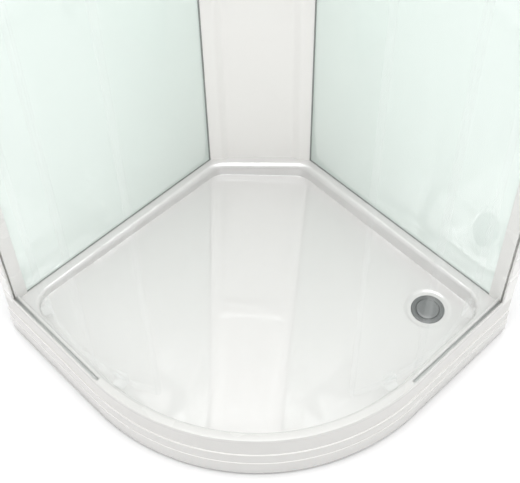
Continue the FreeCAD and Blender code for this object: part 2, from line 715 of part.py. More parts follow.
def door_turn():
    """Axis and angle that carry the right door from closed to open, in the arc centre's frame."""
    spacing = size("roller_spacing")
    lead = 2 * math.asin(spacing / (2 * roller_path))
    rear_shut = vector(roller_path, 0)
    front_shut = vector(roller_path * math.cos(lead), -roller_path * math.sin(lead))
    rear_open = vector(roller_path - size("track_drift"), door_travel)
    # the front roller is then where its circle about the rear roller meets the round track
    distance = rear_open.Length
    along = (roller_path ** 2 - spacing ** 2 + distance ** 2) / (2 * distance)
    aside = math.sqrt(roller_path ** 2 - along ** 2)
    unit = vector(rear_open.x / distance, rear_open.y / distance)
    front_open = vector(unit.x * along + unit.y * aside, unit.y * along - unit.x * aside)
    shut = front_shut.sub(rear_shut)
    opened = front_open.sub(rear_open)
    angle = math.atan2(opened.y, opened.x) - math.atan2(shut.y, shut.x)
    middle = rear_shut.add(rear_open).multiply(0.5)
    step = rear_open.sub(rear_shut)
    reach = 0.5 / math.tan(angle / 2)
    axis = vector(middle.x - step.y * reach, middle.y + step.x * reach)
    return axis, angle, lead


turn_axis, turn_angle, lead_angle = door_turn()
axis_x = centre_x + turn_axis.x
axis_y = centre_y + turn_axis.y
opened = FreeCAD.Placement(vector(0, 0, 0), FreeCAD.Rotation(up, math.degrees(turn_angle)),
                           vector(axis_x, axis_y, 0))


def sector(inner, outer, start, end, low, high):
    """Curved slab about the arc's centre; angles in radians are measured round the front."""
    def at(radius, angle):
        return vector(centre_x + radius * math.cos(angle), centre_y - radius * math.sin(angle), low)

    middle = (start + end) / 2
    edges = [Part.Arc(at(outer, start), at(outer, middle), at(outer, end)),
             Part.LineSegment(at(outer, end), at(inner, end)),
             Part.Arc(at(inner, end), at(inner, middle), at(inner, start)),
             Part.LineSegment(at(inner, start), at(outer, start))]
    face = Part.Face(Part.Wire([edge.toShape() for edge in edges]))
    return face.extrude(vector(0, 0, high - low))


def radial(angle):
    """Placement at the arc's centre whose X axis points outwards at an angle round the front."""
    return FreeCAD.Placement(vector(centre_x, centre_y, 0), FreeCAD.Rotation(up, -math.degrees(angle)))


door_foot = sill_top + size("door_foot_gap")
door_head = rail_foot - size("door_head_gap")
tail_angle = -size("door_tail") / door_radius
half_turn = math.pi / 4
nose_angle = half_turn - (size("meeting_gap") + size("magnet_width") - 4) / door_radius
roller_height = rail_foot + size("track_height") + size("rail_wall") + gap + size("wheel_radius")
hanger_out = door_radius + glass / 2 + gap / 3
roller_angles = (0.0, lead_angle)


def door_piece(label, shape):
    item = feature(label, shape)
    item.Placement = opened.multiply(shape.Placement)
    mirrored(label.replace("right", "left"), item)
    return item


def make_door_glass():
    pane = sector(door_radius - glass / 2, door_radius + glass / 2, tail_angle, nose_angle,
                  door_foot, door_head)
    return pane


def make_magnet():
    """Magnetic seal over the leading edge: a channel with a flat nose."""
    deep = size("magnet_depth") / 2
    front = half_turn - size("meeting_gap") / door_radius
    start = front - size("magnet_width") / door_radius
    strip = sector(door_radius - deep, door_radius + deep, start, front, door_foot, door_head)
    slot = sector(door_radius - glass / 2 - 0.05, door_radius + glass / 2 + 0.05, start - 0.01,
                  nose_angle + 0.05 / door_radius, door_foot - 1, door_head + 1)
    return strip.cut(slot)


def make_tail_seal():
    """Clear fin on the trailing edge, pointing out towards the fixed pane."""
    thick = size("fin_thickness")
    outer = door_radius + glass / 2
    clip = sector(door_radius - glass / 2 - thick, outer + thick, tail_angle - thick / door_radius,
                  tail_angle + 8 / door_radius, door_foot, door_head)
    slot = sector(door_radius - glass / 2, outer, tail_angle, tail_angle + 9 / door_radius,
                  door_foot - 1, door_head + 1)
    fin = sector(outer + thick, outer + size("tail_fin"), tail_angle - thick / door_radius, tail_angle,
                 door_foot, door_head)
    return clip.cut(slot).fuse(fin).removeSplitter()


def make_hanger(angle):
    """Plate on the outside of the glass with its axle, clamp screws and cap on the inside."""
    width = size("hanger_width")
    plate_low = hanger_out
    plate = block(plate_low, plate_low + size("hanger_plate"), -width / 2, width / 2,
                  door_head - size("hanger_overlap"), roller_height + 8)
    rounded = [edge for edge in plate.Edges if abs(edge.tangentAt(edge.FirstParameter).x) > 0.9]
    plate = plate.makeFillet(6, rounded)
    wheel_in = roller_path - size("wheel_width") / 2
    axle = Part.makeCylinder(size("axle_radius"), roller_path + size("wheel_width") / 2 + 1.5 - plate_low,
                             vector(plate_low, 0, roller_height), vector(1, 0, 0))
    collar = Part.makeCylinder(size("axle_radius") + 1.5, wheel_in - gap - plate_low,
                               vector(plate_low, 0, roller_height), vector(1, 0, 0))
    head = Part.makeCylinder(size("axle_radius") + 1.5, 1.2,
                             vector(roller_path + size("wheel_width") / 2 + gap, 0, roller_height),
                             vector(1, 0, 0))
    hanger = whole(plate, [axle, collar, head])
    hanger.Placement = radial(angle)
    return hanger


def make_clamp(angle):
    """Inner clamp disc of a hanger."""
    inner_face = door_radius - glass / 2 - gap / 3
    disc = Part.makeCylinder(size("hanger_width") / 2, 4,
                             vector(inner_face - 4, 0, door_head - size("hanger_overlap") / 2),
                             vector(1, 0, 0))
    rounded = [edge for edge in disc.Edges if edge.BoundBox.XMax < inner_face - 3.9]
    disc = disc.makeFillet(1.5, rounded)
    disc.Placement = radial(angle)
    return disc


def make_wheel(label, angle):
    """Door roller with a grooved tread, turned about its own axis."""
    wheel = turned(label, [
        ("Sizes.axle_radius + Sizes.running_gap", "-Sizes.wheel_width / 2"),
        ("Sizes.wheel_radius", "-Sizes.wheel_width / 2"),
        ("Sizes.wheel_radius", "-Sizes.wheel_width / 4"),
        ("Sizes.wheel_radius - Sizes.wheel_groove", "0"),
        ("Sizes.wheel_radius", "Sizes.wheel_width / 4"),
        ("Sizes.wheel_radius", "Sizes.wheel_width / 2"),
        ("Sizes.axle_radius + Sizes.running_gap", "Sizes.wheel_width / 2")])
    upright = FreeCAD.Placement(vector(roller_path, 0, roller_height),
                                FreeCAD.Rotation(vector(0, 1, 0), 90))
    wheel.Placement = opened.multiply(radial(angle).multiply(upright))
    keep(wheel, label)
    mirrored(label.replace("right", "left"), wheel)


def make_guide(angle):
    """Nylon guide clipped to the foot of the glass, with a nose beside the sill."""
    width = size("guide_width")
    nose = size("front_radius") - size("guide_nose")
    inner = door_radius - glass / 2 - 5
    low = rim + size("bead_width") + 2
    rise = door_foot + size("guide_rise")
    outer = door_radius + glass / 2 + 4
    post = block(inner, outer, -width / 2, width / 2, low, rise)
    arm = block(inner, nose, -width / 2, width / 2, low, sill_top - 1)
    guide = post.fuse(arm).removeSplitter()
    tips = [edge for edge in guide.Edges if abs(edge.tangentAt(edge.FirstParameter).z) > 0.9
            and edge.BoundBox.XMin > nose - 0.01]
    guide = guide.makeFillet(6, tips)
    guide.Placement = radial(angle)
    slot = sector(door_radius - glass / 2 - 0.1, door_radius + glass / 2 + 0.1, tail_angle - 0.1,
                  half_turn, door_foot - gap, rise + 1)
    return guide.cut(slot)


def make_handle(angle):
    """Bar handle on the outside with two posts, and the knobs of its screws on the inside."""
    radius = size("handle_radius")
    outer_face = door_radius + glass / 2 + gap / 3
    inner_face = door_radius - glass / 2 - gap / 3
    middle = size("handle_height")
    length = size("handle_length")
    line = outer_face + size("handle_reach")
    bar = Part.makeCylinder(radius, length, vector(line, 0, middle - length / 2))
    ends = [edge for edge in bar.Edges if edge.Length > radius and edge.BoundBox.ZLength < 0.01]
    bar = bar.makeFillet(radius / 3, ends)
    parts = []
    loose = []
    for side in (-1, 1):
        height = middle + side * (length / 2 - 2.5 * radius)
        parts.append(Part.makeCylinder(radius * 0.7, size("handle_reach"), vector(outer_face, 0, height),
                                       vector(1, 0, 0)))
        parts.append(Part.makeCylinder(radius * 1.3, 2.5, vector(outer_face, 0, height), vector(1, 0, 0)))
        loose.append(Part.makeCylinder(radius * 1.3, 5, vector(inner_face - 5, 0, height), vector(1, 0, 0)))
    handle = whole(bar, parts)
    pieces = Part.makeCompound([handle] + loose)
    pieces.Placement = radial(angle)
    return pieces


door_piece("right_door_glass", make_door_glass())
door_piece("right_magnet_seal", make_magnet())
door_piece("right_tail_seal", make_tail_seal())
door_piece("right_door_hangers", Part.makeCompound([make_hanger(angle) for angle in roller_angles]))
door_piece("right_hanger_clamps", Part.makeCompound([make_clamp(angle) for angle in roller_angles]))
door_piece("right_door_guides", Part.makeCompound([make_guide(angle) for angle in roller_angles]))
door_piece("right_door_handle", make_handle(half_turn - size("handle_setback") / door_radius))
make_wheel("right_rear_roller", roller_angles[0])
make_wheel("right_front_roller", roller_angles[1])


# ---- waste ------------------------------------------------------------------------------------

waste_at = ("Sizes.footprint / 2 - Sizes.waste_from_end", "Sizes.footprint / 2 - Sizes.waste_from_walls")
dish_floor = "Sizes.rim_height - Sizes.basin_depth - Sizes.dish_depth"
mouth = "Sizes.cap_radius + Sizes.cap_gap"

flange = turned("waste_flange", [
    (mouth, "-4"), (mouth, "Sizes.flange_thickness - 0.6"), (mouth + " + 0.6", "Sizes.flange_thickness"),
    ("Sizes.flange_radius - 3", "Sizes.flange_thickness"), ("Sizes.flange_radius", "0.8"),
    ("Sizes.flange_radius", "0"), (mouth + " + Sizes.waste_tube", "0"),
    (mouth + " + Sizes.waste_tube", "-20"), ("Sizes.cap_radius - 1", "-20"),
    ("Sizes.cap_radius - 1", "-6"), ("Sizes.cap_radius - 4", "-6"), ("Sizes.cap_radius - 4", "-4")])
place(flange, waste_at[0], waste_at[1], dish_floor)
keep(flange, "waste_flange")

cap = turned("waste_cap", [
    ("0", "-0.8"), ("Sizes.cap_radius - 6", "-0.8"), ("Sizes.cap_radius - 6", "-4 + Sizes.seat_gap"),
    ("Sizes.cap_radius - 2", "-4 + Sizes.seat_gap"), ("Sizes.cap_radius - 2", "-0.8"),
    ("Sizes.cap_radius", "0"), ("Sizes.cap_radius", "Sizes.flange_thickness"),
    ("Sizes.cap_radius - 1.5", "Sizes.flange_thickness + 1"), ("0", "Sizes.flange_thickness + 1.6")])
place(cap, waste_at[0], waste_at[1], dish_floor)
keep(cap, "waste_cap")

insert = turned("trap_insert", [
    ("Sizes.cap_radius - 9", "-6 - Sizes.seat_gap"), ("Sizes.cap_radius - 1 - Sizes.seat_gap",
                                                      "-6 - Sizes.seat_gap"),
    ("Sizes.cap_radius - 1 - Sizes.seat_gap", "-9"), ("Sizes.cap_radius - 7", "-9"),
    ("Sizes.cap_radius - 7", "-62"), ("Sizes.cap_radius - 9", "-62")])
place(insert, waste_at[0], waste_at[1], dish_floor)
keep(insert, "trap_insert")

gasket = turned("waste_gasket", [
    (mouth + " + Sizes.waste_tube + Sizes.seat_gap", "0"), ("Sizes.trap_radius - 2", "0"),
    ("Sizes.trap_radius - 2", "-2"), (mouth + " + Sizes.waste_tube + Sizes.seat_gap", "-2")])
place(gasket, waste_at[0], waste_at[1], dish_floor + " - Sizes.tray_wall")
keep(gasket, "waste_gasket")

trap_top = dish_floor + " - Sizes.tray_wall - 2"
trap_height = trap_top + " - Sizes.trap_foot"
trap_cup = cylinder("trap_cup", "Sizes.trap_radius", trap_height, waste_at[0], waste_at[1], "Sizes.trap_foot")
outlet = cylinder("outlet_outer", "Sizes.outlet_radius",
                  "Sizes.waste_from_walls - Sizes.outlet_end", waste_at[0], waste_at[1], "Sizes.outlet_axis")
outlet.Placement.Rotation = FreeCAD.Rotation(vector(1, 0, 0), -90)
socket = cylinder("outlet_socket", "Sizes.outlet_radius + Sizes.waste_tube", "30", waste_at[0],
                  waste_at[1] + " + Sizes.trap_radius - 4", "Sizes.outlet_axis")
socket.Placement.Rotation = FreeCAD.Rotation(vector(1, 0, 0), -90)
trap_room = cylinder("trap_room", "Sizes.trap_radius - Sizes.waste_tube",
                     trap_height + " - 2 * Sizes.waste_tube", waste_at[0], waste_at[1],
                     "Sizes.trap_foot + Sizes.waste_tube")
trap_mouth = cylinder("trap_mouth", mouth + " + Sizes.waste_tube + Sizes.seat_gap", "30",
                      waste_at[0], waste_at[1], trap_top + " - 10")
bore = cylinder("outlet_bore", "Sizes.outlet_radius - Sizes.waste_tube",
                "Sizes.waste_from_walls - Sizes.outlet_end + 1", waste_at[0], waste_at[1],
                "Sizes.outlet_axis")
bore.Placement.Rotation = FreeCAD.Rotation(vector(1, 0, 0), -90)
trap = cut("waste_trap", fuse("trap_solid", [trap_cup, outlet, socket]),
           fuse("trap_hollow", [trap_room, trap_mouth, bore]))
keep(trap, "waste_trap")


# ---- tray frame, feet and apron clips -----------------------------------------------------------

def tube(name, length, x, y, along_x):
    """Square tube of the frame at the beams' height, open at both ends."""
    side = "Sizes.beam"
    room = "Sizes.beam - 2 * Sizes.beam_wall"
    z = "Sizes.beam_height"
    if along_x:
        outer = box(name, length, side, side, x, y + " - Sizes.beam / 2", z)
        inner = box(name + "_room", length + " + 2", room, room, x + " - 1",
                    y + " - Sizes.beam / 2 + Sizes.beam_wall", z + " + Sizes.beam_wall")
    else:
        outer = box(name, side, length, side, x + " - Sizes.beam / 2", y, z)
        inner = box(name + "_room", room, length + " + 2", room,
                    x + " - Sizes.beam / 2 + Sizes.beam_wall", y + " - 1", z + " + Sizes.beam_wall")
    return outer, inner


end = "Sizes.footprint / 2 - Sizes.upright_inset"
beam_top = "Sizes.beam_height + Sizes.beam"
rear = tube("rear_beam_tube", "Sizes.footprint - 2 * Sizes.upright_inset",
            "-Sizes.footprint / 2 + Sizes.upright_inset", "Sizes.rear_beam", True)
front = tube("front_beam_tube", end + " + Sizes.front_beam + Sizes.beam / 2",
             "-Sizes.footprint / 2 + Sizes.upright_inset", "-Sizes.front_beam", True)
side_rear = tube("side_rear_tube", "Sizes.footprint - 2 * Sizes.upright_inset",
                 "-Sizes.rear_beam", "-Sizes.footprint / 2 + Sizes.upright_inset", False)
side_front = tube("side_front_tube", end + " + Sizes.front_beam + Sizes.beam / 2",
                  "Sizes.front_beam", "-Sizes.front_beam - Sizes.beam / 2", False)
beams = [rear, front, side_rear, side_front]
frame_tubes = cut("frame_tubes", fuse("frame_solid", [pair[0] for pair in beams]),
                  fuse("frame_room", [pair[1] for pair in beams]))
uprights = []
upright_places = [("-(" + end + ")", "Sizes.rear_beam"), ("-(" + end + ")", "-Sizes.front_beam"),
                  ("-Sizes.rear_beam", end), ("Sizes.front_beam", end)]
for number, (x, y) in enumerate(upright_places, start=1):
    uprights.append(box("upright_%d" % number, "Sizes.beam", "Sizes.beam",
                        "Sizes.rim_height - Sizes.rim_thickness - Sizes.beam_height",
                        x + " - Sizes.beam / 2", y + " - Sizes.beam / 2", "Sizes.beam_height"))
keep(fuse("tray_frame", [frame_tubes] + uprights), "tray_frame")

foot_places = [("-Sizes.footprint / 2 + 75", "Sizes.rear_beam"), ("-Sizes.rear_beam", "Sizes.footprint / 2 - 75"),
               ("Sizes.footprint / 2 - 75", "Sizes.rear_beam"), ("-Sizes.rear_beam", "-Sizes.footprint / 2 + 75"),
               ("Sizes.front_beam", "-Sizes.front_beam"), ("-Sizes.rear_beam", "Sizes.rear_beam")]
foot_shape = turned("foot_master", [
    ("0", "0"), ("Sizes.foot_radius", "0"), ("Sizes.foot_radius", "3"),
    ("Sizes.stud_radius + 4", "Sizes.foot_height - 3"), ("Sizes.stud_radius + 4", "Sizes.foot_height"),
    ("0", "Sizes.foot_height")])
feet = doc.addObject("Part::Feature", "foot_pads")
studs = []
nuts = []
for number, (x, y) in enumerate(foot_places, start=1):
    studs.append(cylinder("stud_%d" % number, "Sizes.stud_radius",
                          "Sizes.beam_height - Sizes.foot_height", x, y, "Sizes.foot_height"))
    nut = doc.addObject("Part::Prism", "nut_%d" % number)
    nut.Polygon = 6
    bind(nut, {"Circumradius": "Sizes.nut_radius", "Height": "Sizes.nut_height"})
    place(nut, x, y, "Sizes.beam_height - Sizes.nut_height")
    bore_tool = cylinder("nut_bore_%d" % number, "Sizes.stud_radius + Sizes.running_gap",
                         "Sizes.nut_height + 2", x, y, "Sizes.beam_height - Sizes.nut_height - 1")
    nuts.append(cut("lock_nut_%d" % number, nut, bore_tool))
keep(group("foot_studs", studs), "foot_studs")
keep(group("lock_nuts", nuts), "lock_nuts")
doc.recompute()
foot_centres = [stud.Placement.Base for stud in studs]
foot_copies = []
for centre in foot_centres:
    copy = foot_shape.Shape.copy()
    copy.translate(vector(centre.x, centre.y))
    foot_copies.append(copy)
feet.Shape = Part.makeCompound(foot_copies)
keep(feet, "foot_pads")


def make_pads():
    """Pads on the crossings of the frame, cut to the underside of the basin."""
    rear = size("rear_beam")
    front = size("front_beam")
    top = size("beam_height") + size("beam")
    spots = [(-rear, rear), (front, -front), (front, rear), (-rear, -front)]
    under = basin(size("tray_wall") + gap, size("front_ledge"))
    pads = []
    for x, y in spots:
        pad = Part.makeCylinder(size("pad_radius"), 60, vector(x, y, top))
        pads.append(min(pad.cut(under).Solids, key=lambda part: part.CenterOfMass.z))
    return Part.makeCompound(pads)


feature("frame_pads", make_pads())


def make_clip(reach, top):
    """Angle from the top of a beam to the inside of the apron, drawn along X."""
    wall = size("clip_wall")
    wide = size("clip_width")
    inner = half - size("lower_step_out") - size("apron_wall")
    leg = block(reach, inner, -wide / 2, wide / 2, top, top + wall)
    upright = block(inner - wall, inner, -wide / 2, wide / 2, top - 16, top + wall)
    return leg.fuse(upright).removeSplitter()


def make_clips():
    top = size("beam_height") + size("beam")
    inner = half - size("lower_step_out") - size("apron_wall")
    straight = make_clip(half - size("upright_inset") - 30, top)
    straight.translate(vector(0, size("rear_beam")))
    radius = inner - centre_x
    reach = math.hypot(size("front_beam") - centre_x, size("front_beam") + centre_y) + size("pad_radius") + 1
    wide = size("clip_width")
    leg = block(reach, radius - 1, -wide / 2, wide / 2, top, top + size("clip_wall"))
    end_plate = block(radius - 1 - size("clip_wall"), radius - 1, -wide / 2, wide / 2, top - 16,
                      top + size("clip_wall"))
    strut = leg.fuse(end_plate).removeSplitter()
    strut.Placement = FreeCAD.Placement(vector(centre_x, centre_y, 0), FreeCAD.Rotation(up, -45))
    return Part.makeCompound(both(straight) + [strut])


feature("apron_clips", make_clips())


# ---- small parts of the rails --------------------------------------------------------------------

def make_bead():
    inner = size("sill_inset") + size("sill_width")
    return front_band(inner, inner + size("bead_width"), post_front, rim, rim + size("bead_width"))


feature("sill_bead", make_bead())


def make_stops():
    """Blocks in the track that stop the rear rollers of the open doors."""
    first = centre_y + door_travel + size("wheel_radius") + 2 * gap
    low = rail_foot + size("track_height") + size("rail_wall")
    outer = size("sill_inset") + size("rail_wall")
    inner = size("sill_inset") + size("rail_width") - size("lip_wall")
    stop = block(half - inner, half - outer, first, first + 10, low, low + 16)
    return Part.makeCompound(both(stop))


feature("rail_stops", make_stops())


def make_foot_seal():
    """Clear strip clipped under the door glass between the guides."""
    width = size("guide_width") / 2 + 1
    inner = door_radius - glass / 2
    outer = door_radius + glass / 2
    thick = size("fin_thickness")
    low = sill_top + 1.5
    pieces = []
    ends = [(tail_angle + 9 / door_radius, roller_angles[0] - width / door_radius),
            (roller_angles[0] + width / door_radius, roller_angles[1] - width / door_radius),
            (roller_angles[1] + width / door_radius, nose_angle - 0.01)]
    for start, stop in ends:
        strip = sector(inner - thick, outer + thick, start, stop, low, door_foot + 8)
        room = sector(inner, outer, start - 0.01, stop + 0.01, door_foot, door_foot + 9)
        pieces.append(strip.cut(room))
    return Part.makeCompound(pieces)


door_piece("right_foot_seal", make_foot_seal())


# ---- checks and files ----------------------------------------------------------------------------

doc.recompute()
troubled = [item.Label for item in doc.Objects
            if any(word in ("Invalid", "Error") for word in item.State)]
for item in nodes:
    shape = item.Shape
    if shape.isNull() or not shape.isValid() or not shape.Solids:
        troubled.append(item.Label)
if troubled:
    raise ValueError("these did not build: " + ", ".join(sorted(set(troubled))))
os.makedirs("parts", exist_ok=True)
for item in nodes:
    item.Shape.exportStep("parts/%s.step" % item.Label)
print("%d nodes" % len(nodes))
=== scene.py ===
import json
import math

import bmesh
import bpy
from mathutils import Matrix, Vector
from mathutils.geometry import delaunay_2d_cdt

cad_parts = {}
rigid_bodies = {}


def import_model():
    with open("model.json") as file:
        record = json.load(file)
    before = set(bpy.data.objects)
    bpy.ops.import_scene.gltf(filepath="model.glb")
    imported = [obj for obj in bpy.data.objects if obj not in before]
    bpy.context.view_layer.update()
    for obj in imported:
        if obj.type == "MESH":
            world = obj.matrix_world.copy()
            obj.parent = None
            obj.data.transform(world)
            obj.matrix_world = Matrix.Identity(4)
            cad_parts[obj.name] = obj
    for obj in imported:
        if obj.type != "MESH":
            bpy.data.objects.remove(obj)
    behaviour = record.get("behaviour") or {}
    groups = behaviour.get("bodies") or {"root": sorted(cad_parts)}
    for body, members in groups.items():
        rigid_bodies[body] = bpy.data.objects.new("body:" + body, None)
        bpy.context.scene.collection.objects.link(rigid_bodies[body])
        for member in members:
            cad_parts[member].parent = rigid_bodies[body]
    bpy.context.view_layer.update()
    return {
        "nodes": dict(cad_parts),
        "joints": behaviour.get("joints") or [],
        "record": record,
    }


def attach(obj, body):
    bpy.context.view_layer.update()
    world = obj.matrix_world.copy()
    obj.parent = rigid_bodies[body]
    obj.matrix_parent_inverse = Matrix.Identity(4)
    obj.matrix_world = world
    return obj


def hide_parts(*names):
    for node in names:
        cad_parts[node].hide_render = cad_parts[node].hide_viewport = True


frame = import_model()
print("frame loaded", len(frame["nodes"]))

# sizes that several pieces share, in metres; the room's corner is at (-halfSide, halfSide)
halfSide = 0.450
frontRadius = 0.550
arcX, arcY = -0.100, 0.100  # centre of the round front
rimZ = 0.150
sillZ = 0.165
railFoot = 1.950
postTop = 1.997
postFront = 0.414
wallFace = 0.0324  # from the room's wall to the face of a wall panel
columnReach = 0.2256  # from the room's corner along the wall to the column's edge
glassThick = 0.005
paneInset = 0.0133  # from the outer line to the middle of a fixed pane
paneLine = halfSide - paneInset
paneEdge = arcY - 0.009  # the round end of a pane's groove is centred here
wasteX, wasteY = 0.303, 0.304


def linkNew(name, data):
    obj = bpy.data.objects.new(name, data)
    bpy.context.scene.collection.objects.link(obj)
    return obj


def shadeByAngle(bm, angle):
    # smooth faces, with a sharp edge where two of them meet at more than the angle
    for f in bm.faces:
        f.smooth = True
    for e in bm.edges:
        if len(e.link_faces) == 2:
            e.smooth = e.calc_face_angle(0.0) < math.radians(angle)


def newMesh(name, verts, faces, angle=35):
    # doubles are merged and the faces are turned outwards
    mesh = bpy.data.meshes.new(name)
    mesh.from_pydata(verts, [], faces)
    bm = bmesh.new()
    bm.from_mesh(mesh)
    bmesh.ops.remove_doubles(bm, verts=bm.verts, dist=1e-6)
    bmesh.ops.recalc_face_normals(bm, faces=bm.faces)
    shadeByAngle(bm, angle)
    if bm.calc_volume(signed=True) < 0:
        bmesh.ops.reverse_faces(bm, faces=bm.faces)
    bm.to_mesh(mesh)
    bm.free()
    return linkNew(name, mesh)


def moved(obj, matrix):
    obj.data.transform(matrix)
    return obj


def mirroredCopy(obj, name):
    # across the line from the corner to the front, which swaps right and left
    mesh = obj.data.copy()
    for v in mesh.vertices:
        v.co.x, v.co.y = -v.co.y, -v.co.x
    mesh.flip_normals()
    return linkNew(name, mesh)


def joined(name, objs):
    # several pieces as one mesh, with their sharp edges kept
    verts, faces, sharp = [], [], set()
    for o in objs:
        base = len(verts)
        verts += [v.co.copy() for v in o.data.vertices]
        faces += [[base + v for v in p.vertices] for p in o.data.polygons]
        sharp |= {tuple(sorted(base + v for v in e.vertices))
                  for e in o.data.edges if e.use_edge_sharp}
        bpy.data.objects.remove(o)
    mesh = bpy.data.meshes.new(name)
    mesh.from_pydata(verts, [], faces)
    for p in mesh.polygons:
        p.use_smooth = True
    for e in mesh.edges:
        e.use_edge_sharp = tuple(sorted(e.vertices)) in sharp
    return linkNew(name, mesh)


def bevelEdges(obj, width, segments):
    # rounds the edges that turn by more than 30 degrees
    bm = bmesh.new()
    bm.from_mesh(obj.data)
    edges = [e for e in bm.edges
             if len(e.link_faces) == 2 and e.calc_face_angle(0.0) > math.radians(30)]
    bmesh.ops.bevel(bm, geom=edges, offset=width, segments=segments, profile=0.5,
                    affect="EDGES", clamp_overlap=True)
    shadeByAngle(bm, 50)
    bm.to_mesh(obj.data)
    bm.free()
    return obj


def slab(name, low, high, bevel=0.0, segments=1):
    x0, y0, z0 = low
    x1, y1, z1 = high
    verts = [(x0, y0, z0), (x1, y0, z0), (x1, y1, z0), (x0, y1, z0),
             (x0, y0, z1), (x1, y0, z1), (x1, y1, z1), (x0, y1, z1)]
    faces = [(3, 2, 1, 0), (4, 5, 6, 7), (0, 1, 5, 4), (1, 2, 6, 5), (2, 3, 7, 6), (3, 0, 4, 7)]
    obj = newMesh(name, verts, faces, 30)
    return bevelEdges(obj, bevel, segments) if bevel else obj


def prism(name, outline, z0, z1):
    k = len(outline)
    verts = [(x, y, z0) for x, y in outline] + [(x, y, z1) for x, y in outline]
    faces = [tuple(range(k)), tuple(range(k, 2 * k))]
    for i in range(k):
        j = (i + 1) % k
        faces.append((i, j, j + k, i + k))
    return newMesh(name, verts, faces, 30)


def lathe(name, section, steps):
    # a closed section of (radius, height), turned about the waste's upright axis
    k = len(section)
    verts, faces = [], []
    for i in range(steps):
        a = 2 * math.pi * i / steps
        verts += [(r * math.cos(a), r * math.sin(a), z) for r, z in section]
        n = (i + 1) % steps
        for j in range(k):
            m = (j + 1) % k
            faces.append((i * k + j, n * k + j, n * k + m, i * k + m))
    return moved(newMesh(name, verts, faces, 32), Matrix.Translation((wasteX, wasteY, 0)))


def cutWith(obj, tool):
    mod = obj.modifiers.new("cut", "BOOLEAN")
    mod.operation = "DIFFERENCE"
    mod.solver = "EXACT"
    mod.object = tool
    dg = bpy.context.evaluated_depsgraph_get()
    mesh = bpy.data.meshes.new_from_object(obj.evaluated_get(dg))
    obj.modifiers.clear()
    obj.data = mesh
    bpy.data.objects.remove(tool)


def ease(value):
    # 0 to 1 with soft ends
    t = min(max(value, 0.0), 1.0)
    return t * t * (3 - 2 * t)


def turnBetween(s, t):
    return math.atan2(s.x * t.y - s.y * t.x, s.dot(t))


def arcPoints(middle, s, turn, steps):
    # points from middle + s through the turn about the middle
    points = []
    for k in range(steps + 1):
        c = math.cos(turn * k / steps)
        d = math.sin(turn * k / steps)
        points.append((middle.x + s.x * c - s.y * d, middle.y + s.x * d + s.y * c))
    return points


def ringPoints(radius, steps, offset=0.0):
    # a circle round the waste
    angles = [2 * math.pi * (i + offset) / steps for i in range(steps)]
    return [(wasteX + radius * math.cos(a), wasteY + radius * math.sin(a)) for a in angles]


def roundCorners(corners, steps):
    # closed outline of (x, y, radius) corners
    out = []
    for i, (x, y, r) in enumerate(corners):
        p = Vector((x, y))
        a = Vector(corners[i - 1][:2])
        b = Vector(corners[(i + 1) % len(corners)][:2])
        u = (a - p).normalized()
        w = (b - p).normalized()
        angle = u.angle(w)
        if r <= 0 or angle > math.radians(178):
            out.append(tuple(p))
            continue
        reach = min(r / math.tan(angle / 2), (a - p).length * 0.49, (b - p).length * 0.49)
        r = reach * math.tan(angle / 2)
        middle = p + (u + w).normalized() * (r / math.sin(angle / 2))
        s = p + u * reach - middle
        t = p + w * reach - middle
        out += arcPoints(middle, s, turnBetween(s, t), steps)
    return out


def frontStations(start, arcSteps):
    # points on the outer line of the front with their outward normals, right end first
    stations = [((halfSide, start), (1.0, 0.0)), ((halfSide, (start + arcY) / 2), (1.0, 0.0))]
    for i in range(arcSteps + 1):
        a = -math.pi / 2 * i / arcSteps
        n = (math.cos(a), math.sin(a))
        stations.append(((arcX + frontRadius * n[0], arcY + frontRadius * n[1]), n))
    stations.append((((-start + arcX) / 2, -halfSide), (0.0, -1.0)))
    stations.append(((-start, -halfSide), (0.0, -1.0)))
    return stations


def insetLine(start, arcSteps, inset):
    # the outer line of the front, drawn in
    return [(px - nx * inset, py - ny * inset)
            for (px, py), (nx, ny) in frontStations(start, arcSteps)]


def sweepFront(name, section, start, arcSteps):
    # a closed section of (inset, height), swept along the front
    stations = frontStations(start, arcSteps)
    verts = [(px - nx * inset, py - ny * inset, z)
             for (px, py), (nx, ny) in stations for inset, z in section]
    k = len(section)
    faces = []
    for i in range(len(stations) - 1):
        for j in range(k):
            a = i * k + j
            b = i * k + (j + 1) % k
            faces.append((a, b, b + k, a + k))
    faces.append(tuple(range(k)))
    faces.append(tuple(reversed(range((len(stations) - 1) * k, len(stations) * k))))
    return newMesh(name, verts, faces)


def addNode(tree, kind, links=(), fixed=None, **settings):
    # a node with its settings, its fixed inputs and its links
    made = tree.nodes.new(kind)
    for key, value in settings.items():
        setattr(made, key, value)
    for label, value in (fixed or {}).items():
        made.inputs[label].default_value = value
    for source, target in links:
        tree.links.new(source, made.inputs[target])
    return made


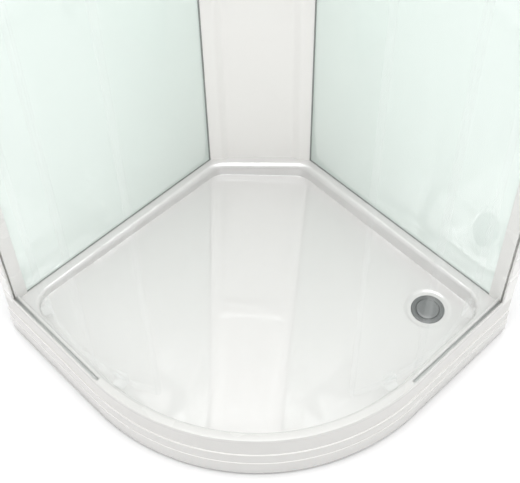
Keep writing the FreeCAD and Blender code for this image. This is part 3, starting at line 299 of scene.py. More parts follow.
# colour, roughness from and to, and what else sets a finish apart; alpha is how much of a
# clear sheet shows as a film, and grain is how fine its roughness varies
finishes = {
    "acrylicWhite": {"color": (0.660, 0.648, 0.640), "rough": (0.04, 0.07), "coat": 1.0,
                     "wave": 0.02},
    # the apron's own white, also painted on the sill's outer face as shade
    "apronWhiteAndSillShade": {"color": (0.630, 0.622, 0.606), "rough": (0.18, 0.24)},
    # painted highlight: a lighter copy of the apron white for the upward faces of its steps
    "ledgeHighlightWhite": {"color": (0.80, 0.79, 0.77), "rough": (0.20, 0.26)},
    "profileWhite": {"color": (0.760, 0.753, 0.735), "rough": (0.24, 0.30), "specular": 0.45},
    "panelWhite": {"color": (0.90, 0.884, 0.862), "rough": (0.12, 0.16)},
    # painted shade: a darker copy of the profile white for the sill, whose top takes more light
    # than the posts
    "sillShadedWhite": {"color": (0.625, 0.618, 0.603), "rough": (0.24, 0.30), "specular": 0.45},
    "wallGlassGreen": {"color": (0.845, 0.925, 0.885), "rough": (0.015, 0.025)},
    "clearGlass": {"color": (0.90, 0.97, 0.94), "rough": (0.01, 0.02), "specular": 0.8,
                   "alpha": 0.02},
    "glassEdge": {"color": (0.42, 0.66, 0.57), "rough": (0.05, 0.08), "specular": 0.8,
                  "alpha": 0.55},
    "clearSeal": {"color": (0.88, 0.90, 0.89), "rough": (0.20, 0.30), "specular": 0.8,
                  "alpha": 0.05},
    "clearGuide": {"color": (0.86, 0.88, 0.87), "rough": (0.08, 0.12), "specular": 0.8,
                   "alpha": 0.15},
    # painted shade for the walls of the pane grooves
    "grooveShadeGrey": {"color": (0.52, 0.53, 0.52), "rough": (0.40, 0.50), "specular": 0.3},
    "greySeal": {"color": (0.26, 0.275, 0.265), "rough": (0.45, 0.55), "specular": 0.3},
    "wasteGrey": {"color": (0.120, 0.124, 0.125), "rough": (0.28, 0.38)},
    "capGrey": {"color": (0.150, 0.154, 0.156), "rough": (0.26, 0.34)},
    "nylonPlastic": {"color": (0.72, 0.72, 0.70), "rough": (0.30, 0.40), "specular": 0.4},
    "greyPlastic": {"color": (0.36, 0.37, 0.38), "rough": (0.35, 0.45), "specular": 0.4},
    "rubberBlack": {"color": (0.03, 0.03, 0.03), "rough": (0.55, 0.65), "specular": 0.3},
    "chromeMetal": {"color": (0.80, 0.81, 0.82), "rough": (0.048, 0.072), "metallic": 1.0,
                    "grain": 60.0},
    "zincMetal": {"color": (0.55, 0.56, 0.57), "rough": (0.272, 0.408), "metallic": 1.0,
                  "grain": 60.0},
    "floorPale": {"color": (0.93, 0.93, 0.93), "rough": (0.80, 0.90), "specular": 0.1}}
coatRough, coatIor = 0.02, 1.75
waveGrain, waveHeight = 2.2, 0.002  # the moulded sheet is slightly uneven


def makeFinish(name, color, rough, specular=0.5, metallic=0.0, alpha=1.0, coat=0.0, wave=0.0,
               grain=7.0):
    material = bpy.data.materials.new(name)
    material.use_nodes = True
    tree = material.node_tree
    shader = tree.nodes["Principled BSDF"]
    sockets = {"Base Color": (*color, 1), "Specular IOR Level": specular, "Metallic": metallic,
               "Alpha": alpha}
    if coat:
        sockets.update({"Coat Weight": coat, "Coat Roughness": coatRough, "Coat IOR": coatIor})
    for label, value in sockets.items():
        shader.inputs[label].default_value = value
    place = addNode(tree, "ShaderNodeTexCoord").outputs["Object"]
    noise = addNode(tree, "ShaderNodeTexNoise", [(place, "Vector")], {"Scale": grain})
    spread = addNode(tree, "ShaderNodeMapRange", [(noise.outputs["Fac"], "Value")],
                     {"To Min": rough[0], "To Max": rough[1]})
    tree.links.new(spread.outputs["Result"], shader.inputs["Roughness"])
    if wave:
        ripple = addNode(tree, "ShaderNodeTexNoise", [(place, "Vector")],
                         {"Scale": waveGrain, "Detail": 1.0})
        bump = addNode(tree, "ShaderNodeBump", [(ripple.outputs["Fac"], "Height")],
                       {"Strength": wave, "Distance": waveHeight})
        tree.links.new(bump.outputs["Normal"], shader.inputs["Normal"])
    return material


looks = {name: makeFinish(name, **values) for name, values in finishes.items()}
slotLooks = {
    "acrylic_white": "acrylicWhite", "profile_white": "profileWhite",
    "panel_white": "panelWhite", "wall_glass": "wallGlassGreen", "clear_glass": "clearGlass",
    "clear_seal": "clearSeal", "grey_seal": "greySeal", "chrome": "chromeMetal",
    "grey_satin": "wasteGrey", "nylon": "nylonPlastic", "zinc_steel": "zincMetal",
    "grey_plastic": "greyPlastic", "rubber": "rubberBlack"}
slotOf = {s["node"]: s["material_slot"] for s in frame["record"]["subparts"]}
bodyOf = {n: b for b, ns in frame["record"]["behaviour"]["bodies"].items() for n in ns}


def slotLook(cadNode):
    return looks[slotLooks[slotOf[cadNode]]]


def dress(obj, cadNode, look=None):
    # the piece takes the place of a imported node, with its body and its finish
    obj.data.materials.clear()
    obj.data.materials.append(looks[look] if look else slotLook(cadNode))
    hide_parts(cadNode)
    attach(obj, bodyOf[cadNode])


def bothSides(obj, ending, look):
    # a right piece and its mirrored twin on the left
    twin = mirroredCopy(obj, obj.name.replace("right", "left"))
    dress(obj, "right_" + ending, look)
    dress(twin, "left_" + ending, look)


for cadNode, obj in frame["nodes"].items():
    obj.data.materials.clear()
    obj.data.materials.append(slotLook(cadNode))
    for p in obj.data.polygons:
        p.use_smooth = True
for side in ("right", "left"):
    frame["nodes"][side + "_door_guides"].data.materials[0] = looks["clearGuide"]
print("finishes made")

# apron: a stepped section of (inset, height, round), swept round the front
apronSizes = {
    "section": [
        (0.0, 0.010, 0.001), (0.0, 0.0588, 0.0), (0.0012, 0.060, 0.0006),
        (0.0018, 0.060, 0.0004), (0.0018, 0.0968, 0.0), (0.0030, 0.098, 0.0006),
        (0.0050, 0.098, 0.0008), (0.0050, 0.150, 0.0006), (0.0090, 0.150, 0.0006),
        (0.0090, 0.094, 0.0), (0.0058, 0.094, 0.0), (0.0058, 0.056, 0.0),
        (0.0040, 0.056, 0.0), (0.0040, 0.014, 0.0), (0.0160, 0.014, 0.0005),
        (0.0160, 0.010, 0.0005)],
    "cornerSteps": 3, "arcSteps": 128, "ledges": (0.05, 0.12)}  # heights between which the ledges with the painted highlight lie
apron = sweepFront("apronPiece", roundCorners(apronSizes["section"], apronSizes["cornerSteps"]),
                   halfSide, apronSizes["arcSteps"])
dress(apron, "apron_panel", "apronWhiteAndSillShade")
# painted highlight: the upward faces of the apron's steps take the lighter white, as top light on
# them
apron.data.materials.append(looks["ledgeHighlightWhite"])
for p in apron.data.polygons:
    if p.normal.z > 0.6 and apronSizes["ledges"][0] < p.center.z < apronSizes["ledges"][1]:
        p.material_index = 1

# sill with its two pane grooves
sillSizes = {"outer": 0.005, "inner": 0.025, "topRound": 0.002, "footRound": 0.0003,
             "cornerSteps": 5, "arcSteps": 128, "grooveWidth": 0.008, "grooveDepth": 0.009,
             "grooveSteps": 16}
toolReach = 0.002  # past the end of the sill
toolRise = 0.004  # above its top
sillSection = [(sillSizes["outer"], rimZ, sillSizes["footRound"]),
               (sillSizes["outer"], sillZ, sillSizes["topRound"]),
               (sillSizes["inner"], sillZ, sillSizes["topRound"]),
               (sillSizes["inner"], rimZ, sillSizes["footRound"])]
sill = sweepFront("sillPiece", roundCorners(sillSection, sillSizes["cornerSteps"]), postFront,
                  sillSizes["arcSteps"])
grooveHalf = sillSizes["grooveWidth"] / 2
grooveLine = [(paneLine + grooveHalf, postFront + toolReach),
              (paneLine - grooveHalf, postFront + toolReach)]
for i in range(sillSizes["grooveSteps"] + 1):
    a = math.pi + math.pi * i / sillSizes["grooveSteps"]
    grooveLine.append((paneLine + grooveHalf * math.cos(a), paneEdge + grooveHalf * math.sin(a)))
grooveTool = prism("grooveTool", grooveLine, sillZ - sillSizes["grooveDepth"], sillZ + toolRise)
grooveTwin = mirroredCopy(grooveTool, "grooveTwin")
cutWith(sill, grooveTool)
cutWith(sill, grooveTwin)
# the sill takes the darker copy of the profile white as painted shade
dress(sill, "bottom_rail", "sillShadedWhite")
sill.data.materials.append(looks["apronWhiteAndSillShade"])
sill.data.materials.append(looks["grooveShadeGrey"])
for p in sill.data.polygons:
    x, y, z = p.center
    inset = halfSide - max(x, -y)
    inGroove = abs(inset - paneInset) < grooveHalf + 0.0005
    if inGroove and rimZ + 0.003 < z < sillZ - 0.0015:
        p.material_index = 2  # painted shade in the groove
    # painted shade: the sill's outward faces below its top get the darker apron white
    shadedOuterFace = p.normal.z < 0.35 and p.normal.x - p.normal.y > 0.5
    fromArc = math.hypot(max(x - arcX, 0), min(y - arcY, 0))
    if shadedOuterFace and z < sillZ - 0.0012 and fromArc > frontRadius - 0.007:
        p.material_index = 1  # painted shade: the outer face takes the apron's darker white
print("apron and sill made")

# glass walls, drawn on the right and mirrored
panelSizes = {"front": 0.4110, "columnGap": 0.002, "rimGap": 0.002, "topGap": 0.0033,
              "bevel": 0.0008, "segments": 2}
wallPanel = slab(
    "rightPanelPiece",
    (-halfSide + columnReach + panelSizes["columnGap"], halfSide - wallFace,
     rimZ + panelSizes["rimGap"]),
    (panelSizes["front"], halfSide - wallFace + glassThick, postTop - panelSizes["topGap"]),
    panelSizes["bevel"], panelSizes["segments"])
bothSides(wallPanel, "wall_panel", "wallGlassGreen")

# corner column: a slanting face with two rolled recesses, and a return along each wall
columnSizes = {
    "thick": 0.003, "fieldHalf": 0.110, "fieldSlope": 0.026, "fieldDepth": 0.008,
    "fieldRound": 0.045, "fields": ((rimZ - 0.2, 0.790), (0.850, postTop - 0.060)),
    "across": 96, "fineStep": 0.004, "coarseStep": 0.012, "fineReach": 0.05,
    "fineNear": (0.770, 0.870, postTop - 0.080), "returnGap": 0.0001, "returnBevel": 0.0004}
faceHalf = (columnReach - wallFace) / math.sqrt(2)
faceDistance = (columnReach + wallFace) / math.sqrt(2)


def fieldInside(x, z, low, high):
    # how far a point lies inside a recess, which is a rounded rectangle
    corner = columnSizes["fieldRound"]
    px = abs(x) - (columnSizes["fieldHalf"] - corner)
    pz = abs(z - (low + high) / 2) - ((high - low) / 2 - corner)
    outside = math.hypot(max(px, 0), max(pz, 0))
    return corner - outside - min(max(px, pz), 0.0)


def faceDepth(x, z):
    return max(columnSizes["fieldDepth"] * ease(fieldInside(x, z, low, high)
                                                / columnSizes["fieldSlope"])
               for low, high in columnSizes["fields"])


def columnFace():
    thick = columnSizes["thick"]
    inner = faceHalf - thick
    count = columnSizes["across"]
    xs = [-faceHalf] + [-inner + 2 * inner * i / count for i in range(count + 1)] + [faceHalf]
    zs = [rimZ]
    while zs[-1] < postTop:
        near = min(abs(zs[-1] - v) for v in columnSizes["fineNear"])
        fine = near < columnSizes["fineReach"]
        step = columnSizes["fineStep"] if fine else columnSizes["coarseStep"]
        zs.append(min(zs[-1] + step, postTop))
    verts = [(x, faceDepth(x, z) + back, z) for back in (0.0, thick) for z in zs for x in xs]
    base = len(verts) // 2
    n = len(xs)
    faces = []
    for i in range(len(zs) - 1):
        for j in range(n - 1):
            a = i * n + j
            faces.append((a, a + 1, a + 1 + n, a + n))
            faces.append((base + a, base + a + n, base + a + 1 + n, base + a + 1))
    top = (len(zs) - 1) * n
    for j in range(n - 1):
        faces.append((j, base + j, base + j + 1, j + 1))
        faces.append((top + j, top + j + 1, base + top + j + 1, base + top + j))
    for a in range(0, top, n):
        b = a + n - 1
        faces.append((a, a + n, base + a + n, base + a))
        faces.append((b, base + b, base + b + n, b + n))
    across = Vector((math.sqrt(0.5), math.sqrt(0.5), 0))
    inward = Vector((-math.sqrt(0.5), math.sqrt(0.5), 0))
    origin = Vector((-halfSide, halfSide, 0)) - inward * faceDistance
    return moved(newMesh("columnPiece", verts, faces, 40), Matrix((
        (across.x, inward.x, 0, origin.x),
        (across.y, inward.y, 0, origin.y),
        (0, 0, 1, 0), (0, 0, 0, 1))))


returnEdge = -halfSide + columnReach
rightReturn = slab(
    "rightReturn",
    (returnEdge - columnSizes["thick"], halfSide - wallFace + columnSizes["returnGap"], rimZ),
    (returnEdge, halfSide, postTop), columnSizes["returnBevel"])
columnParts = [columnFace(), rightReturn, mirroredCopy(rightReturn, "leftReturn")]
dress(joined("cornerColumnPiece", columnParts), "corner_column", "panelWhite")
print("walls and column made")

# tray: a moulded sheet whose rings follow the basin's outline inwards
traySizes = {
    "wallInset": 0.061, "frontInset": 0.037, "cornerCut": 0.290,  # the basin's rim in plan
    "backRound": 0.055, "frontRound": 0.058, "arcSteps": 64, "roundSteps": 14,
    "depth": 0.0485, "fallDegrees": 1.4,
    "lip": 0.008, "cove": 0.0012, "bendSteps": 8,
    "swell": 0.9, "swellFrom": 0.10, "swellRun": 0.25,  # of the lip, towards the back
    "sheet": 0.004, "rimSheet": 0.005, "underLip": 0.006, "underCove": 0.006,
    "drain": 0.0333, "drainSteps": 64, "dishDepth": 0.003, "dishRadius": 0.050,
    "dishSlope": 0.012,
    "dishRings": (0.038, 0.044, 0.050, 0.052, 0.054, 0.056, 0.058, 0.060, 0.062, 0.068),
    "dishClear": 0.075, "grid": 0.02, "gridEdge": 0.008, "apronGap": 0.0093, "skirt": 0.028,
    "rimSteps": 96, "skirtBevel": 0.0004}
basinFloor = rimZ - traySizes["depth"]
dishZ = basinFloor - traySizes["dishDepth"]
fallTan = math.tan(math.radians(traySizes["fallDegrees"]))


def basinPoints(inset):
    # the basin's rim in plan, drawn in by inset, always with the same number of points
    wall = halfSide - traySizes["wallInset"]
    front = halfSide - traySizes["frontInset"]
    slant = 2 * halfSide - traySizes["cornerCut"]
    backLeft, backRight = (-wall, slant - wall), (wall - slant, wall)
    farLeft, nearRight = (-wall, -front), (front, wall)
    arcSteps = traySizes["arcSteps"]

    def corner(point, before, after, radius):
        p = Vector(point)
        u = (Vector(before) - p).normalized()
        w = (Vector(after) - p).normalized()
        half = u.angle(w) / 2
        middle = p + (u + w).normalized() * (radius / math.sin(half))
        s = p + u * (radius / math.tan(half)) - middle
        t = p + w * (radius / math.tan(half)) - middle
        return arcPoints(middle, s.normalized() * (radius - inset), turnBetween(s, t),
                         traySizes["roundSteps"])

    points = corner(backLeft, farLeft, backRight, traySizes["backRound"])
    points += corner(backRight, backLeft, nearRight, traySizes["backRound"])
    points += corner(nearRight, backRight, (front, arcY), traySizes["frontRound"])
    radius = front - arcX - inset
    for k in range(arcSteps + 1):
        a = -math.pi / 2 * k / arcSteps
        points.append((arcX + radius * math.cos(a), arcY + radius * math.sin(a)))
    return points + corner(farLeft, (arcX, -front), backLeft, traySizes["frontRound"])


def floorHeight(x, y, drop=0.0):
    # the floor falls towards the waste and dips in a dish round it
    away = (wasteX + wasteY - x - y) / math.sqrt(2)
    slope = basinFloor + away * fallTan - drop
    dish = dishZ - drop
    r = math.hypot(x - wasteX, y - wasteY)
    return dish + (slope - dish) * ease((r - traySizes["dishRadius"]) / traySizes["dishSlope"])


def insideOutline(outline, x, y):
    hit = False
    for i in range(len(outline)):
        x0, y0 = outline[i - 1]
        x1, y1 = outline[i]
        if (y0 > y) != (y1 > y) and x < x0 + (y - y0) * (x1 - x0) / (y1 - y0):
            hit = not hit
    return hit


def fillSheet(verts, faces, outer, hole, inner, heightOf):
    # a sheet between an outline and a hole, through the inner points
    n = len(outer)
    m = len(hole)
    edges = [(i, (i + 1) % n) for i in range(n)]
    edges += [(n + i, n + (i + 1) % m) for i in range(m)]
    points = [Vector(p) for p in outer + hole + inner]
    flat, _, cells = delaunay_2d_cdt(points, edges, [], 0, 1e-7)[:3]
    base = len(verts)
    verts.extend((v.x, v.y, heightOf(v.x, v.y)) for v in flat)
    for cell in cells:
        cx = sum(flat[i].x for i in cell) / len(cell)
        cy = sum(flat[i].y for i in cell) / len(cell)
        if insideOutline(outer, cx, cy) and not insideOutline(hole, cx, cy):
            faces.append(tuple(base + i for i in cell))


def traySheet(verts, faces, rimLine, drain, rimHeight, lip, cove, drop):
    # one side of the moulded sheet: rim, rounded lip, wall, cove and floor
    bends = [math.pi / 2 * i / traySizes["bendSteps"] for i in range(traySizes["bendSteps"] + 1)]
    swell = traySizes["swell"]
    rings = []
    for a in bends:
        inset = -drop - lip + lip * math.sin(a)
        fall = lip * (1 - math.cos(a))
        wide = basinPoints((inset + drop) * (1 + swell) - drop)
        ring = []
        for (x, y), (u, v) in zip(basinPoints(inset), wide):
            t = ease((y - x - traySizes["swellFrom"]) / traySizes["swellRun"])
            ring.append((x + (u - x) * t, y + (v - y) * t, rimHeight - fall * (1 + swell * t)))
        rings.append(ring)
    for a in bends:
        line = basinPoints(-drop + cove * (1 - math.cos(a)))
        rise = cove * (1 - math.sin(a))
        rings.append([(x, y, floorHeight(x, y, drop) + rise) for x, y in line])
    n = len(rings[0])
    base = len(verts)
    for ring in rings:
        verts.extend(ring)
    for i in range(len(rings) - 1):
        a = base + i * n
        for j in range(n):
            k = (j + 1) % n
            faces.append((a + j, a + k, a + n + k, a + n + j))
    fillSheet(verts, faces, rimLine, [p[:2] for p in rings[0]], [], lambda x, y: rimHeight)
    inner = []
    for r in traySizes["dishRings"]:
        inner += ringPoints(r, traySizes["drainSteps"], 0.5)
    keep = basinPoints(-drop + cove + traySizes["gridEdge"])
    reach = int(halfSide / traySizes["grid"])
    for i in range(-reach, reach + 1):
        for j in range(-reach, reach + 1):
            x, y = i * traySizes["grid"], j * traySizes["grid"]
            clear = math.hypot(x - wasteX, y - wasteY) > traySizes["dishClear"]
            if clear and insideOutline(keep, x, y):
                inner.append((x, y))
    fillSheet(verts, faces, [p[:2] for p in rings[-1]], drain, inner,
              lambda x, y: floorHeight(x, y, drop))


def edgeStrip(verts, faces, upper, lower):
    # closes the sheet between its upper and its lower side
    k = len(upper)
    base = len(verts)
    verts.extend(upper + lower)
    for i in range(k):
        j = (i + 1) % k
        faces.append((base + i, base + j, base + k + j, base + k + i))


def trayPiece():
    sheet = traySizes["sheet"]
    underRim = rimZ - traySizes["rimSheet"]
    rimLine = insetLine(halfSide, traySizes["rimSteps"], traySizes["apronGap"])
    rimLine.append((-halfSide, halfSide))
    drain = ringPoints(traySizes["drain"], traySizes["drainSteps"])
    verts, faces = [], []
    traySheet(verts, faces, rimLine, drain, rimZ, traySizes["lip"], traySizes["cove"], 0.0)
    traySheet(verts, faces, rimLine, drain, underRim, traySizes["underLip"],
              traySizes["underCove"], sheet)
    edgeStrip(verts, faces, [(x, y, floorHeight(x, y)) for x, y in drain],
              [(x, y, floorHeight(x, y, sheet)) for x, y in drain])
    edgeStrip(verts, faces, [(x, y, rimZ) for x, y in rimLine],
              [(x, y, underRim) for x, y in rimLine])
    shell = newMesh("traySheet", verts, faces, 28)
    skirt = slab("traySkirt", (-halfSide, halfSide - sheet, rimZ - traySizes["skirt"]),
                 (halfSide - traySizes["apronGap"], halfSide, underRim),
                 traySizes["skirtBevel"])
    return joined("trayPiece", [shell, skirt, mirroredCopy(skirt, "trayTwin")])


dress(trayPiece(), "tray_shell", "acrylicWhite")
print("tray made")

# waste: sections of (radius, height over the dish)
wasteSizes = {
    "steps": 96,
    "flange": [(0.0300, -0.004), (0.0300, 0.0018), (0.0304, 0.0023), (0.0312, 0.0026),
               (0.0392, 0.0026), (0.0408, 0.0022), (0.0420, 0.0014), (0.0425, 0.0006),
               (0.0425, 0.0), (0.0325, 0.0), (0.0325, -0.020), (0.0280, -0.020),
               (0.0280, -0.006), (0.0250, -0.006), (0.0250, -0.004)],
    "cap": [(0.0001, -0.0008), (0.0230, -0.0008), (0.0230, -0.0037), (0.0270, -0.0037),
            (0.0270, -0.0008), (0.0288, 0.0001), (0.0290, 0.0020), (0.0286, 0.0030),
            (0.0275, 0.0036), (0.0200, 0.0039), (0.0100, 0.0041), (0.0001, 0.0042)]}
for pieceName, part, cadNode, look in (("wasteFlangePiece", "flange", "waste_flange", "wasteGrey"),
                                       ("wasteCapPiece", "cap", "waste_cap", "capGrey")):
    section = [(r, dishZ + z) for r, z in wasteSizes[part]]
    dress(lathe(pieceName, section, wasteSizes["steps"]), cadNode, look)
print("waste made")

# doors: curved panes and seals drawn shut, then turned to where they rest
doorSizes = {
    "radius": 0.499, "footGap": 0.010, "topGap": 0.008, "paneFoot": 0.008,  # over the door's foot
    "tail": 0.039, "meetGap": 0.0004,  # past the start of the round, and short of its middle
    "clip": 0.008, "magnet": 0.009, "magnetHalf": 0.0065, "sealOver": 0.0015, "fin": 0.010,
    "rollerSpan": 0.300, "rollerRadius": 0.528, "guideHalf": 0.016, "stripGap": 0.001,
    "stripRise": 0.0015}
slide = {j["name"]: j for j in frame["joints"]}["right_door_slide"]
pole = Vector(slide["pos_m"])
openTurn = (Matrix.Translation(pole)
            @ Matrix.Rotation(math.radians(slide["range_deg"][1]), 4, "Z")
            @ Matrix.Translation(-pole))
doorRadius = doorSizes["radius"]


def doorPart(name, inner, outer, start, end, z0, z1, steps):
    # a curved upright slice between two angles of the round front
    turns = [-(start + (end - start) * i / steps) for i in range(steps + 1)]
    back = [-(end + (start - end) * i / steps) for i in range(steps + 1)]
    outline = [(arcX + r * math.cos(a), arcY + r * math.sin(a))
               for r, angles in ((outer, turns), (inner, back)) for a in angles]
    return moved(prism(name, outline, z0, z1), openTurn)


paneIn = doorRadius - glassThick / 2
paneOut = doorRadius + glassThick / 2
clipIn, clipOut = paneIn - doorSizes["sealOver"], paneOut + doorSizes["sealOver"]
doorLow, doorHigh = sillZ + doorSizes["footGap"], railFoot - doorSizes["topGap"]
paneLow = doorLow + doorSizes["paneFoot"]
tailAngle = -doorSizes["tail"] / doorRadius
sealAngle = tailAngle - doorSizes["sealOver"] / doorRadius
clipAngle = tailAngle + doorSizes["clip"] / doorRadius
frontAngle = math.pi / 4 - doorSizes["meetGap"] / doorRadius
magnetAngle = frontAngle - doorSizes["magnet"] / doorRadius
doorPane = doorPart("rightDoorPane", paneIn, paneOut, clipAngle, magnetAngle, paneLow, doorHigh,
                    64)
bothSides(doorPane, "door_glass", "clearGlass")
magnet = doorPart("rightMagnet", doorRadius - doorSizes["magnetHalf"],
                  doorRadius + doorSizes["magnetHalf"], magnetAngle, frontAngle, doorLow,
                  doorHigh, 4)
bothSides(magnet, "magnet_seal", "clearSeal")
tailClip = doorPart("rightTailClip", clipIn, clipOut, sealAngle, clipAngle, doorLow, doorHigh, 4)
tailFin = doorPart("rightTailFin", clipOut, paneOut + doorSizes["fin"], sealAngle, tailAngle,
                   doorLow, doorHigh, 2)
bothSides(joined("rightTailSeal", [tailClip, tailFin]), "tail_seal", "clearSeal")
# the foot seal leaves room for the two guides under the rollers
guideHalf = doorSizes["guideHalf"] / doorRadius
leadAngle = 2 * math.asin(doorSizes["rollerSpan"] / (2 * doorSizes["rollerRadius"]))
stripGap = doorSizes["stripGap"] / doorRadius
strips = [doorPart("footStrip", clipIn, clipOut, start, end, sillZ + doorSizes["stripRise"],
                   paneLow, 24)
          for start, end in ((clipAngle + stripGap, -guideHalf),
                             (guideHalf, leadAngle - guideHalf),
                             (leadAngle + guideHalf, magnetAngle - stripGap))]
bothSides(joined("rightFootSeal", strips), "foot_seal", "clearSeal")

# fixed panes and the seals on their free edges
paneSizes = {"sink": 0.0087, "front": 0.425, "top": 1.9657, "clip": 0.008, "clipHalf": 0.004,
             "sealOver": 0.0015, "fin": 0.0095, "gap": 0.0003}
fixedPane = slab("rightFixedPane",
                 (paneLine - glassThick / 2, paneEdge + paneSizes["clip"],
                  sillZ - paneSizes["sink"]),
                 (paneLine + glassThick / 2, paneSizes["front"], paneSizes["top"]))
bothSides(fixedPane, "fixed_pane", "clearGlass")
sealLow, sealHigh = sillZ + paneSizes["gap"], railFoot - paneSizes["gap"]
sealStart = paneEdge - paneSizes["sealOver"]
paneClip = slab("rightPaneClip", (paneLine - paneSizes["clipHalf"], sealStart, sealLow),
                (paneLine + paneSizes["clipHalf"], paneEdge + paneSizes["clip"], sealHigh))
paneFin = slab("rightPaneFin", (paneLine - paneSizes["fin"], sealStart, sealLow),
               (paneLine - paneSizes["clipHalf"], paneEdge, sealHigh))
bothSides(joined("rightPaneSeal", [paneClip, paneFin]), "pane_seal", "clearSeal")
for obj in bpy.context.scene.objects:
    if obj.name.endswith(("DoorPane", "FixedPane")):
        # the cut upper edge of a pane shows the green of the glass
        obj.data.materials.append(looks["glassEdge"])
        for p in obj.data.polygons:
            if p.normal.z > 0.9:
                p.material_index = 1
print("doors and panes made")


# feet, studs, nuts and the sealing bead repeat or follow the front, so nodes make them
def sizedTree(name, labels):
    # an empty tree with a geometry input, named sizes and a material
    tree = bpy.data.node_groups.new(name, "GeometryNodeTree")
    face = tree.interface
    face.new_socket("Geometry", in_out="INPUT", socket_type="NodeSocketGeometry")
    sockets = {label: face.new_socket(label, in_out="INPUT",
                                      socket_type="NodeSocketFloat").identifier
               for label in labels}
    sockets["Material"] = face.new_socket("Material", in_out="INPUT",
                                          socket_type="NodeSocketMaterial").identifier
    face.new_socket("Geometry", in_out="OUTPUT", socket_type="NodeSocketGeometry")
    return tree, sockets, tree.nodes.new("NodeGroupInput").outputs


def finishTree(tree, given, geometry):
    real = addNode(tree, "GeometryNodeRealizeInstances", [(geometry, "Geometry")])
    addNode(tree, "NodeGroupOutput", [(addNode(tree, "GeometryNodeSetMaterial", [
        (real.outputs[0], "Geometry"), (given["Material"], "Material")]).outputs[0], 0)])


def runTree(name, base, tree, sockets, sizes, cadNode):
    # the tree's result becomes a plain mesh and the modifier goes
    mod = base.modifiers.new("nodes", "NODES")
    mod.node_group = tree
    for label, value in sizes.items():
        mod[sockets[label]] = value
    mod[sockets["Material"]] = slotLook(cadNode)
    dg = bpy.context.evaluated_depsgraph_get()
    mesh = bpy.data.meshes.new_from_object(base.evaluated_get(dg))
    base.modifiers.clear()
    bpy.data.objects.remove(base)
    bm = bmesh.new()
    bm.from_mesh(mesh)
    shadeByAngle(bm, 35)
    bm.to_mesh(mesh)
    bm.free()
    return linkNew(name, mesh)


def pointCloud(name, points, edges=()):
    mesh = bpy.data.meshes.new(name)
    mesh.from_pydata(points, edges, [])
    return linkNew(name, mesh)


def lifted(tree, geometry, height):
    up = addNode(tree, "ShaderNodeCombineXYZ", [(height, "Z")])
    return addNode(tree, "GeometryNodeTransform", [
        (geometry, "Geometry"), (up.outputs[0], "Translation")]).outputs[0]


def drum(tree, radius, depth, lift, sides):
    # upright cylinder on the tree's inputs
    made = addNode(tree, "GeometryNodeMeshCylinder", [(radius, "Radius"), (depth, "Depth")],
                   {"Vertices": sides})
    return lifted(tree, made.outputs["Mesh"], lift)


def atPoints(tree, given, shapes):
    # the shapes as one, set on each point
    whole = tree.nodes.new("GeometryNodeJoinGeometry")
    for shape in shapes:
        tree.links.new(shape, whole.inputs[0])
    return addNode(tree, "GeometryNodeInstanceOnPoints", [
        (given["Geometry"], "Points"), (whole.outputs[0], "Instance")]).outputs["Instances"]


footing = {"side": 0.375, "rear": 0.150, "front": 0.190,  # places of the feet in plan
           "plateRadius": 0.024, "plateHeight": 0.003, "neckRadius": 0.010, "neckHeight": 0.003,
           "height": 0.014, "sides": 64}
footPoints = [(-footing["side"], footing["rear"], 0), (-footing["rear"], footing["side"], 0),
              (footing["side"], footing["rear"], 0), (-footing["rear"], -footing["side"], 0),
              (footing["front"], -footing["front"], 0), (-footing["rear"], footing["rear"], 0)]
tree, sockets, given = sizedTree("footTree", (
    "Plate radius", "Plate height", "Plate lift", "Neck radius", "Neck height", "Neck lift",
    "Skirt height", "Skirt lift"))
plate = drum(tree, given["Plate radius"], given["Plate height"], given["Plate lift"],
             footing["sides"])
neck = drum(tree, given["Neck radius"], given["Neck height"], given["Neck lift"],
            footing["sides"])
flare = addNode(tree, "GeometryNodeMeshCone", [
    (given["Neck radius"], "Radius Top"), (given["Plate radius"], "Radius Bottom"),
    (given["Skirt height"], "Depth")], {"Vertices": footing["sides"]})
flare = lifted(tree, flare.outputs["Mesh"], given["Skirt lift"])
finishTree(tree, given, atPoints(tree, given, (plate, neck, flare)))
feet = runTree("footPadPieces", pointCloud("footPoints", footPoints), tree, sockets, {
    "Plate radius": footing["plateRadius"], "Plate height": footing["plateHeight"],
    "Plate lift": footing["plateHeight"] / 2, "Neck radius": footing["neckRadius"],
    "Neck height": footing["neckHeight"],
    "Neck lift": footing["height"] - footing["neckHeight"] / 2,
    "Skirt height": footing["height"] - footing["neckHeight"] - footing["plateHeight"],
    "Skirt lift": footing["plateHeight"]}, "foot_pads")
dress(feet, "foot_pads")

studSizes = {"radius": 0.006, "beamHeight": 0.056, "coreDepth": 0.0007, "threadDepth": 0.0006,
             "threadPitch": 0.00175, "threadStart": 0.001, "sides": 32, "turnSteps": 20}
tree, sockets, given = sizedTree("studTree", (
    "Core radius", "Length", "Lift", "Thread line", "Thread depth", "Thread length",
    "Thread start", "Turns"))
core = drum(tree, given["Core radius"], given["Length"], given["Lift"], studSizes["sides"])
spiral = addNode(tree, "GeometryNodeCurveSpiral", [
    (given["Turns"], "Rotations"), (given["Thread line"], "Start Radius"),
    (given["Thread line"], "End Radius"), (given["Thread length"], "Height")],
    {"Resolution": studSizes["turnSteps"]})
ridge = addNode(tree, "GeometryNodeCurvePrimitiveCircle", [(given["Thread depth"], "Radius")],
                {"Resolution": 4})
thread = addNode(tree, "GeometryNodeCurveToMesh", [
    (spiral.outputs[0], "Curve"), (ridge.outputs[0], "Profile Curve")], {"Fill Caps": True})
thread = lifted(tree, thread.outputs[0], given["Thread start"])
finishTree(tree, given, atPoints(tree, given, (core, thread)))
studLength = studSizes["beamHeight"] - footing["height"]
threadLength = studLength - 2 * studSizes["threadStart"]
